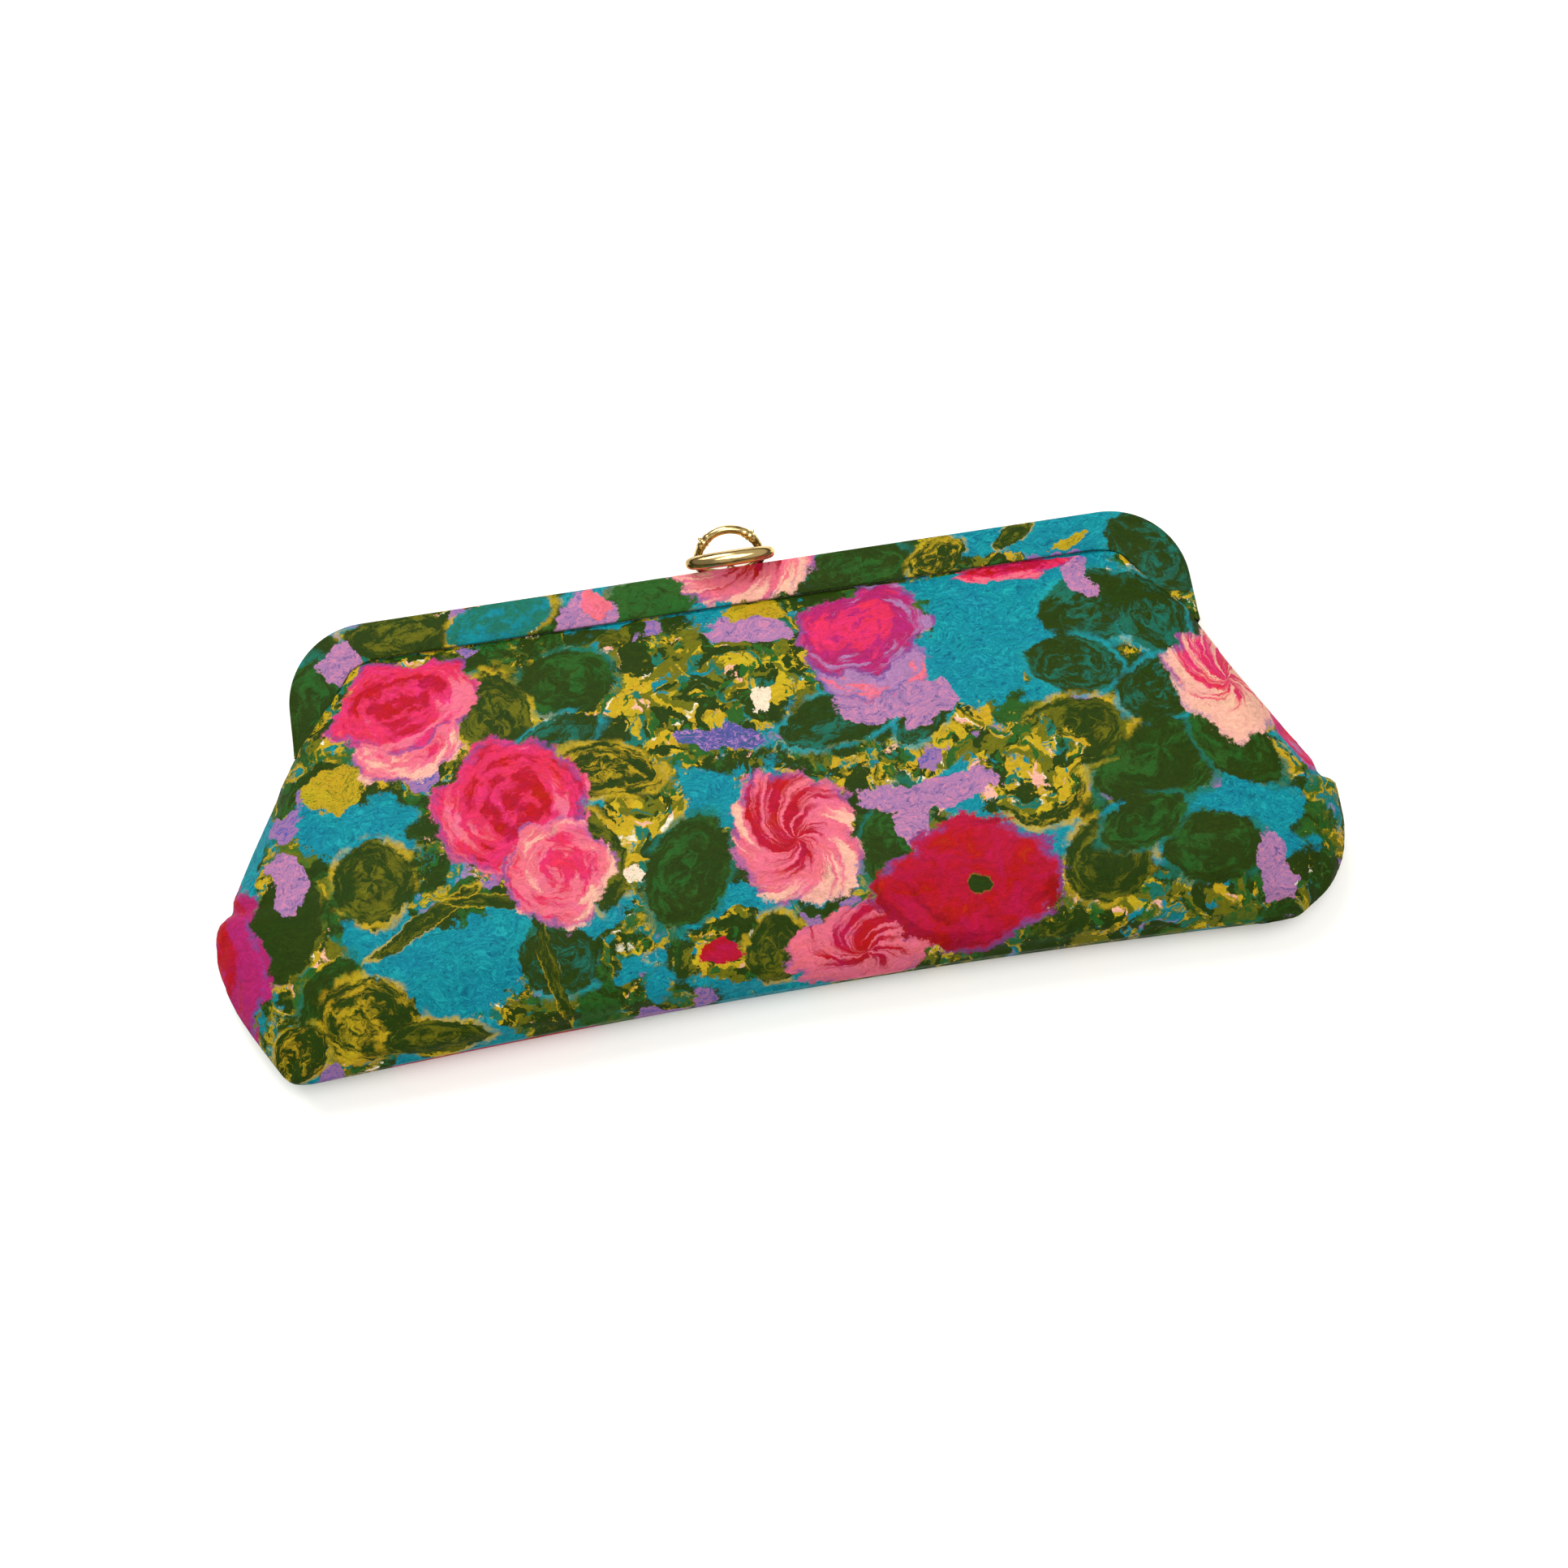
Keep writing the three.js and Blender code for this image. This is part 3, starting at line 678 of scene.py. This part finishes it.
def satin_material():
    """Cream satin lining: long floats along one direction, soft sheen."""
    material, n, shader = new_material("lining_satin")
    where = n.add("ShaderNodeTexCoord").outputs["Object"]
    threads = n.noise(n.vector("MULTIPLY", where, (1, 14, 1)), 700, 2, 0.6)
    shade = n.noise(where, 30, 3, 0.5)
    tone = n.mix(shade, srgb(206, 188, 156), srgb(226, 212, 184))
    color = n.mix(n.times(threads, 0.35), tone, srgb(176, 154, 120))
    set_surface(n, shader, threads, 0.2, 0.0002, {
        "Base Color": color, "Sheen Weight": 0.3,
        "Roughness": n.plus(0.3, n.times(threads, 0.25))})
    return material


def felt_material(name, light, dark, scale):
    """Matted fibres, for the interlining and the paper cords."""
    material, n, shader = new_material(name)
    where = n.add("ShaderNodeTexCoord").outputs["Object"]
    fibres = n.noise(where, scale, 5, 0.8, 2.0)
    set_surface(n, shader, fibres, 0.4, 0.0003, {
        "Base Color": n.mix(fibres, light, dark), "Roughness": 0.9})
    return material


GOLD = metal_material("clasp_gold", srgb(222, 192, 128), 0.07, 0.2)
STEEL = metal_material("frame_steel", srgb(186, 180, 168), 0.28, 0.4)
SATIN = satin_material()
FELT = felt_material("interlining_felt", srgb(236, 232, 220), srgb(196, 190, 172), 900)
PAPER = felt_material("cord_paper", srgb(214, 190, 146), srgb(160, 134, 92), 1500)

# ---- cloth body ----


def bottom_shift(x):
    """How far the bottom edge lies above its nominal line: it droops at both ends."""
    crown_x, crown_rise = 25, 2.1
    fall, reach = (4.3, 142) if x < crown_x else (2.4, 95)
    return crown_rise - fall * ((x - crown_x) / reach) ** 2


def body_sheet(front, inset, rows, columns):
    """One layer of the front or back: a grid of points, and flat print coordinates.

    inset is how far it lies inside the outermost layer.
    """
    lines = through(BODY_ROWS, rows)
    # Columns are closer together towards the sides, where the face curves over.
    theta = np.linspace(-math.pi / 2, math.pi / 2, columns)
    across = np.sign(theta) * np.abs(np.sin(theta)) ** 0.5
    lift = np.maximum(np.cos(theta), 0)
    tuck = 4  # extra columns on each side for the channel or the seam allowance
    side = 1 if front else -1
    points, flats = [], []
    lengths = np.concatenate([[0], np.cumsum(np.hypot(
        np.diff(lines[:, 0]), np.diff(lines[:, 1])))])
    level = np.interp(PRINT_LEVEL_Y, lines[:, 0], lengths)
    for index, (y, rise, depth, left, right, turn) in enumerate(lines):
        if front:
            base = np.interp(y, [14, 22], [0, CHANNEL_REACH])
        else:
            # The side seam ends below the hinge, clear of where the front leg swings.
            base = np.interp(y, [9, 18], [0, CHANNEL_DEPTH])
        # Inner layers lie deeper, but less so in the narrow channel.
        height = rise if front else depth
        height = max(height - inset * np.interp(y, [30, BAND_Y], [1, 0.25]), 0.15 + base)
        # They also end a little above the bottom seam.
        raised = y + inset * np.clip(1 - (y - BOTTOM_Y) / 12, 0, 1)
        droop = np.clip((-20 - y) / 25, 0, 1)
        # Well rounded low down, flatter with steep sides near the frame.
        power = np.interp(y, [0, 38], [0.9, 0.35])
        halves = np.where(theta < 0, left, right) - inset
        x = halves * across
        z = base + (height - base) * lift**power
        turned = turn - 0.2 * inset
        outer_left = [(-halves[0] - turned * (tuck - k) / tuck, base) for k in range(tuck)]
        outer_right = [(halves[-1] + turned * (k + 1) / tuck, base) for k in range(tuck)]
        line = outer_left + list(zip(x, z)) + outer_right
        steps = np.linalg.norm(np.diff(np.array(line), axis=0), axis=1)
        # Print coordinates are lengths along the cloth, from the row's middle.
        run = np.concatenate([[0], np.cumsum(steps)])
        run -= run[len(run) // 2 - 1:len(run) // 2 + 1].mean()
        for (px, pz), travel in zip(line, run):
            py = raised + droop * bottom_shift(px)
            points.append((px, py, SEAM_Z + side * (pz + SEAM_GAP)))
            flats.append((travel, lengths[index] - level + PRINT_LEVEL_Y))
    return np.array(points), np.array(flats), columns + 2 * tuck


def crease(points, start, end, depth, width):
    """Presses a fold into the front along a line, deepest at its start."""
    a, b = np.array(start, float), np.array(end, float)
    d = b - a
    t = np.clip(((points[:, :2] - a) @ d) / (d @ d), 0, 1)
    away = np.linalg.norm(points[:, :2] - (a + t[:, None] * d), axis=1)
    fall = (1 - t) ** 0.7
    points[:, 2] -= depth * np.exp(-((away / width) ** 2)) * fall
    # Cloth bunches up a little on each side of the fold.
    points[:, 2] += 0.35 * depth * np.exp(-(((away - 2.6 * width) / (1.3 * width)) ** 2)) * fall


# At the side notches, the lower corners and beside the frame's legs:
# start, end, depth and width of each fold.
CREASES = [
    ((-135.4, -17.8), (-119, -20.0), 1.7, 1.1),
    ((138.0, -25.6), (121, -24.0), 1.7, 1.1),
    ((-126.0, -59.0), (-112, -50), 1.1, 1.3),
    ((124.0, -60.0), (108, -50), 1.1, 1.3),
    ((-115, 17), (-104, 8), 0.9, 2.0),
    ((115, 17), (104, 8), 0.9, 2.0),
]
CLOTH_STEPS = 16
# How far the cloth may slide sideways, rise or sink, in millimetres.
MOST_SLIDE, MOST_RISE, MOST_SINK = 0.8, 1.2, 0.5


def soften(obj, pinned):
    """Lets the panel slacken as cloth between its pinned edges.

    It is a little larger than the frame it is sewn into and is filled from inside, so it
    puffs and puckers. How far it may rise or sink is capped, to keep it off the layers
    below.
    """
    group = obj.vertex_groups.new(name="pinned")
    for index in np.flatnonzero(pinned):
        group.add([int(index)], 1.0, "REPLACE")
    before = np.array([v.co for v in obj.data.vertices])
    settings = obj.modifiers.new("Cloth", "CLOTH").settings
    settings.vertex_group_mass = "pinned"
    settings.quality = 6
    settings.mass = 0.2
    settings.tension_stiffness = 15
    settings.compression_stiffness = 15
    settings.shear_stiffness = 5
    settings.bending_stiffness = 0.5
    settings.shrink_min = -0.01  # below 0 it grows
    settings.use_pressure = True
    settings.uniform_pressure_force = 40.0
    settings.effector_weights.gravity = 0.0
    scene = bpy.context.scene
    for step in range(1, CLOTH_STEPS + 1):
        scene.frame_set(step)
    graph = bpy.context.evaluated_depsgraph_get()
    moved = np.array([v.co for v in obj.evaluated_get(graph).data.vertices])
    obj.modifiers.clear()
    obj.vertex_groups.clear()
    scene.frame_set(1)
    shift = np.clip(moved - before, -MOST_SLIDE * MM, MOST_SLIDE * MM)
    lift = (moved - before)[:, 2] / MM
    # The caps are soft: the further the cloth wants to go, the less of it is let through.
    limit = np.where(lift > 0, MOST_RISE, MOST_SINK)
    shift[:, 2] = limit * np.tanh(lift / limit) * MM
    obj.data.vertices.foreach_set("co", (before + shift).ravel())
    obj.data.update()


def make_body_layer(name, front, inset, thickness, material, rows=92, columns=150):
    """One layer of cloth. The front's are creased, and the outer one slackened too."""
    points, flats, width = body_sheet(front, inset, rows, columns)
    if front:
        for fold in CREASES:
            crease(points, *fold)
    faces = grid_faces(len(points) // width, width)
    if not front:
        faces = [face[::-1] for face in faces]
    obj = make_object(name, points, faces, material, flats)
    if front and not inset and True:
        # Held at the bottom seam, at the frame and down both sides.
        grid = np.arange(len(points)).reshape(-1, width)
        edge_rows, edge_columns, frame_y = 4, 7, 38
        pinned = np.zeros(len(points))
        pinned[grid[:edge_rows].ravel()] = 1
        pinned[points[:, 1] > frame_y] = 1
        pinned[grid[:, :edge_columns].ravel()] = 1
        pinned[grid[:, -edge_columns:].ravel()] = 1
        soften(obj, pinned)
    thicken(obj, thickness, -1)
    return obj


INNER_GRID = (50, 60)  # rows and columns of the layers inside
front_layers = [
    make_body_layer("front_panel", True, 0, 0.7, PRINT_FRONT),
    make_body_layer("front_interlining", True, 1.6, 0.5, FELT, *INNER_GRID),
    make_body_layer("front_lining", True, 2.5, 0.3, SATIN, *INNER_GRID),
]
back_layers = [
    make_body_layer("back_panel_cloth", False, 0, 0.7, PRINT_BACK),
    make_body_layer("back_interlining_cloth", False, 1.2, 0.5, FELT, *INNER_GRID),
    make_body_layer("back_lining_cloth", False, 2.1, 0.3, SATIN, *INNER_GRID),
]

# The front's layers stay where they are built, in place of the CAD's lower and upper front
# pieces, which are hidden; the back's layers move with the rear half.
LAYER_SLOTS = {"panel": "print_cloth", "interlining": "interlining_felt",
               "lining": "lining_cloth"}
for front_layer, back_layer, (stem, slot) in zip(front_layers, back_layers,
                                                 LAYER_SLOTS.items()):
    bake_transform(front_layer)
    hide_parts(f"front_{stem}_lower", f"front_{stem}_upper")
    place(back_layer, REAR, f"back_{stem}")

# ---- covered frame halves ----


def resample(points, count):
    """The same line as count evenly spaced points."""
    points = np.asarray(points, float)
    steps = np.linalg.norm(np.diff(points, axis=0), axis=1)
    along = np.concatenate([[0], np.cumsum(steps)])
    at = np.linspace(0, along[-1], count)
    return np.stack([np.interp(at, along, points[:, k]) for k in range(2)], axis=1)


BAND_END = np.array((90, BAND_Y))  # where the band's lower edge starts to turn down
ELBOW = np.array((96.8, 40.9))  # the corner that the turn cuts off
LEG_START = np.array((99.6, 37.6))  # where it has turned into the leg's inner edge
FOOT_WIDTH = 2.3
# The covers end just above the hinge, so their feet clear each other when it opens.
FOOT_Y = HINGE.y / MM + 0.2
BAND_COLUMNS, LEG_COLUMNS = 60, 48


def frame_edges():
    """Matching points on the frame's outer and inner edges, from one leg to the other."""
    centre_y = FRAME_TOP - SHOULDER
    shoulder_x = FRAME_SIDE - SHOULDER
    foot_x = FRAME_SIDE + 0.1
    arc = [(shoulder_x + SHOULDER * math.cos(a), centre_y + SHOULDER * math.sin(a))
           for a in np.linspace(math.pi / 2, 0, 24)]
    outer_leg = resample(arc + [(foot_x, FOOT_Y)], LEG_COLUMNS)
    bend = [(1 - t) ** 2 * BAND_END + 2 * t * (1 - t) * ELBOW + t * t * LEG_START
            for t in np.linspace(0, 1, 10)]
    inner_leg = resample(bend + [(foot_x - FOOT_WIDTH, FOOT_Y)], LEG_COLUMNS)
    straight = np.linspace(0, 1, BAND_COLUMNS)[:-1]
    outer_top = np.stack([straight * shoulder_x, np.full_like(straight, FRAME_TOP)], axis=1)
    inner_top = np.stack([straight * BAND_END[0], np.full_like(straight, BAND_Y)], axis=1)
    outer = np.concatenate([outer_top, outer_leg])
    inner = np.concatenate([inner_top, inner_leg])
    mirror = np.array([-1, 1])
    outer = np.concatenate([outer[:0:-1] * mirror, outer])
    inner = np.concatenate([inner[:0:-1] * mirror, inner])
    return outer, inner


COVER_THICKNESS = 0.35
ROUND_OFF = 1.1  # radius of a cover's outer edge
LIP = 0.5  # width of the rounded fold at the mouth
FACE_END = 11  # which point of a half section is the last on its flat face


def half_profile(span, bulge):
    """Half of a cover's section, from inside the mouth out to the outer edge.

    Its points are (distance from the outer edge, depth below the face).
    """
    round_here = min(ROUND_OFF, span * 0.3)
    turn_in = [(span - 2.2, 1.1), (span - 0.9, 0.95), (span - 0.25, 0.7), (span, 0.42),
               (span - 0.12, 0.15), (span - LIP, 0)]
    face = [(round_here + (span - LIP - round_here) * t, -bulge * math.sin(math.pi * t))
            for t in np.linspace(0.12, 0.88, 6)[::-1]]
    edge = [(round_here * (1 - math.sin(a)), round_here * (1 - math.cos(a)))
            for a in np.linspace(0, math.pi / 2, 5)]
    return turn_in + face + edge


def make_cover(name, low, high, shown_high, material, shift):
    """Cloth wrapped round a channel: rounded at the outer edge, turned in at the mouth.

    shift says which part of the printed cloth it is cut from.
    """
    outer, inner = frame_edges()
    # Only the face that shows is puffed; the other lies against the other half.
    bulge = 0.35 if shown_high else 0
    points, flats = [], []
    for start, end in zip(outer, inner):
        span = np.linalg.norm(end - start)
        inward = (end - start) / span
        profile = [(along, high - depth) for along, depth in half_profile(span, bulge)]
        profile.append((-0.1, (high + low) / 2))
        profile += [(along, low + depth) for along, depth in half_profile(span, 0)[::-1]]
        steps = np.array(profile)
        run = np.concatenate([[0], np.cumsum(np.linalg.norm(np.diff(steps, axis=0), axis=1))])
        # Print coordinates run on from the face that shows, over the edge and behind.
        anchor = FACE_END if shown_high else len(profile) - 1 - FACE_END
        reach = (run - run[anchor]) * (1 if shown_high else -1)
        for (along, z), travel in zip(profile, reach):
            spot = start + inward * along
            flat = start + inward * (steps[anchor][0] - travel)
            points.append((spot[0], spot[1], z))
            flats.append((flat[0] + shift[0], flat[1] + shift[1]))
    faces = grid_faces(len(outer), len(profile))
    obj = make_object(name, points, faces, material, flats)
    # The faces look inwards, so this keeps the thickness inside the covers' size.
    thicken(obj, COVER_THICKNESS, 1)
    return obj


front_cover = make_cover("front_cover_cloth", front_cover_low[2], front_cover_high[2], True,
                         PRINT_COVER, (0, 0))
rear_cover = make_cover("rear_cover_cloth", rear_cover_low[2], rear_cover_high[2], False,
                        PRINT_BACK, (12, -48))
place(front_cover, FRONT, "front_frame_cover")
place(rear_cover, REAR, "rear_frame_cover")

# ---- clasp ----


class Ring:
    """An oval ring in the plane of X and a direction tilted from +Y towards +Z.

    It reaches rise from its widest line to the far limb and drop to the limb with the
    stem. tube(angle) is the radius of the metal.
    """

    def __init__(self, centre, half_width, rise, drop, tilt, tube):
        self.centre = Vector(centre)
        self.half_width, self.rise, self.drop, self.tube = half_width, rise, drop, tube
        self.up = Vector((0, math.cos(tilt), math.sin(tilt)))
        self.normal = Vector((1, 0, 0)).cross(self.up)

    def depth(self, angle):
        return self.rise if math.sin(angle) > 0 else self.drop

    def middle(self, angle):
        return (self.centre + Vector((math.cos(angle) * self.half_width, 0, 0))
                + self.up * math.sin(angle) * self.depth(angle))

    def outward(self, angle):
        out = Vector((math.cos(angle) * self.depth(angle), 0, 0))
        return (out + self.up * math.sin(angle) * self.half_width).normalized()

    def mesh(self, name):
        count, sides = 180, 28
        points = []
        for i in range(count):
            angle = 2 * math.pi * i / count
            radius = self.tube(angle)
            for j in range(sides):
                turn = 2 * math.pi * j / sides
                points.append(self.middle(angle) + self.outward(angle) * radius * math.cos(turn)
                              + self.normal * radius * math.sin(turn))
        faces = grid_faces(count, sides, True, True)
        return make_object(name, [tuple(p) for p in points], faces, GOLD)


def lathe(name, profile, place_at, axis, material, sides=40):
    """A turned piece: profile is (radius, distance along axis)."""
    axis = Vector(axis).normalized()
    side = axis.orthogonal().normalized()
    other = axis.cross(side)
    points = []
    for radius, along in profile:
        for j in range(sides):
            turn = 2 * math.pi * j / sides
            points.append(Vector(place_at) + axis * along
                          + (side * math.cos(turn) + other * math.sin(turn)) * radius)
    faces = grid_faces(len(profile), sides, True)
    faces.append(tuple(range(sides))[::-1])
    faces.append(tuple((len(profile) - 1) * sides + j for j in range(sides)))
    return make_object(name, [tuple(p) for p in points], faces, material)


def join(pieces):
    """Several mesh objects as one."""
    bpy.ops.object.select_all(action="DESELECT")
    for piece in pieces:
        piece.select_set(True)
    bpy.context.view_layer.objects.active = pieces[0]
    bpy.ops.object.join()
    return pieces[0]


def crescent(angle):
    """Puffed at the limb that faces out, a little slimmer round the back."""
    return 1.35 + 0.6 * max(math.sin(angle), 0) ** 0.7


COLLAR_ANGLES = (math.radians(45), math.radians(135))


def bamboo(angle):
    """An even tube with a raised, pinched collar on each shoulder."""
    radius = 1.12
    for at in COLLAR_ANGLES:
        away = abs(angle - at)
        radius += 0.38 * math.exp(-((away / 0.04) ** 2))
        radius += 0.16 * math.exp(-(((away - 0.15) / 0.07) ** 2))
    return radius


FRONT_RING = Ring((0, 52.75, 13.7), 10.1, 3.9, 3.9, math.radians(110), crescent)
REAR_RING = Ring((0, 54.6, 6.9), 8.2, 8.7, 3.65, math.radians(47), bamboo)


def make_clasp(side, ring, body, node, stem_z, prongs):
    """A ring, its stem down into the channel, and on the rear one two small prongs."""
    pieces = [ring.mesh(f"{side}_ring")]
    foot_y = node_box(node)[0][1]
    length = ring.middle(-math.pi / 2).y - foot_y
    # From the foot inside the channel, out through a collar, flaring into the ring.
    profile = [(0.72, 0), (0.8, 0.2), (0.8, 2.1), (1.0, 2.5), (1.5, 2.75), (1.6, 3.0),
               (1.35, 3.25), (0.95, 3.4), (0.9, length - 0.5), (1.2, length)]
    pieces.append(lathe(f"{side}_stem", profile, (0, foot_y, stem_z), (0, 1, 0), GOLD))
    for angle in COLLAR_ANGLES if prongs else ():
        tip = [(0.5, 0.9), (0.42, 1.45), (0.24, 1.85), (0.08, 2.05)]
        pieces.append(lathe(f"{side}_prong", tip, ring.middle(angle), ring.outward(angle),
                            GOLD, 16))
    clasp = join(pieces)
    clasp.name = f"{side}_clasp"
    place(clasp, body, node)


front_mid_z = (front_cover_low[2] + front_cover_high[2]) / 2
rear_mid_z = (rear_cover_low[2] + rear_cover_high[2]) / 2
make_clasp("front", FRONT_RING, FRONT, "front_clasp_ring", front_mid_z, False)
make_clasp("rear", REAR_RING, REAR, "rear_clasp_ring", rear_mid_z, True)

# ---- metal and cord nodes kept from the frame ----

KEPT = {
    "front_frame": STEEL, "rear_frame": STEEL, "front_clasp_bush": STEEL,
    "rear_clasp_bush": STEEL, "left_hinge_rivet": GOLD, "right_hinge_rivet": GOLD,
    "front_paper_cord": PAPER, "rear_paper_cord": PAPER,
}
for name, material in KEPT.items():
    mesh = frame["nodes"][name].data
    mesh.materials.clear()
    mesh.materials.append(material)

# ---- floor, light and camera ----


def make_floor():
    """A square of floor, a hair below the purse so that they don't share a plane."""
    reach = 3.0 / MM
    corners = [(-reach, -reach, 0), (reach, -reach, 0), (reach, reach, 0), (-reach, reach, 0)]
    floor = make_object("floor", corners, [(0, 1, 2, 3)], FLOOR)
    floor.location.z = -0.0002


def floor_material():
    material, n, shader = new_material("floor")
    shader.inputs["Base Color"].default_value = (0.98, 0.975, 0.965, 1)
    shader.inputs["Roughness"].default_value = 0.8
    shader.inputs["Specular IOR Level"].default_value = 0.1
    return material


FLOOR = floor_material()
make_floor()


DAYLIGHT = (1, 0.985, 0.96)


def add_light(name, place_at, size, power):
    """A rectangle of daylight aimed at the purse."""
    data = bpy.data.lights.new(name, "AREA")
    data.shape = "RECTANGLE"
    data.size, data.size_y = size
    data.energy = power
    data.color = DAYLIGHT
    light = bpy.data.objects.new(name, data)
    light.location = place_at
    light.rotation_euler = (-Vector(place_at)).to_track_quat("-Z", "Y").to_euler()
    bpy.context.scene.collection.objects.link(light)


add_light("window", (-0.3, 0.7, 0.8), (0.7, 0.5), 8)
add_light("ceiling", (0.15, -0.1, 1.2), (0.8, 0.8), 9)

# The room, as the gold reflects it: pale above, brownish below.
world = bpy.data.worlds.new("pale room")
world.use_nodes = True
sky = Nodes(world.node_tree)
direction = sky.add("ShaderNodeTexCoord").outputs["Generated"]
height = sky.add("ShaderNodeSeparateXYZ", {0: direction}).outputs[2]
room = sky.ramp(height, [(0.0, srgb(120, 112, 98)), (0.25, srgb(110, 102, 88)),
                         (0.45, srgb(236, 234, 228)), (1.0, srgb(250, 250, 246))])
world.node_tree.links.new(room, world.node_tree.nodes["Background"].inputs[0])
world.node_tree.nodes["Background"].inputs[1].default_value = 0.66
bpy.context.scene.world = world
bpy.context.scene.view_settings.view_transform = "Standard"

CAMERA_AIM = Vector((0.0043, -0.007, 0.011))
CAMERA_AZIMUTH = math.radians(-9.6)
CAMERA_ELEVATION = math.radians(76.7)
CAMERA_ROLL = math.radians(0.5)
CAMERA_DISTANCE = 0.524
CAMERA_LENS = 48.4


def make_camera():
    """Looks at CAMERA_AIM from above, a little from one side."""
    back = Vector((math.sin(CAMERA_AZIMUTH) * math.cos(CAMERA_ELEVATION),
                   -math.cos(CAMERA_AZIMUTH) * math.cos(CAMERA_ELEVATION),
                   math.sin(CAMERA_ELEVATION)))
    data = bpy.data.cameras.new("camera")
    data.lens = CAMERA_LENS
    data.clip_start = 0.01
    camera = bpy.data.objects.new("camera", data)
    camera.location = CAMERA_AIM + back * CAMERA_DISTANCE
    turn = (-back).to_track_quat("-Z", "Y") @ Quaternion((0, 0, 1), CAMERA_ROLL)
    camera.rotation_euler = turn.to_euler()
    bpy.context.scene.collection.objects.link(camera)
    bpy.context.scene.camera = camera


make_camera()
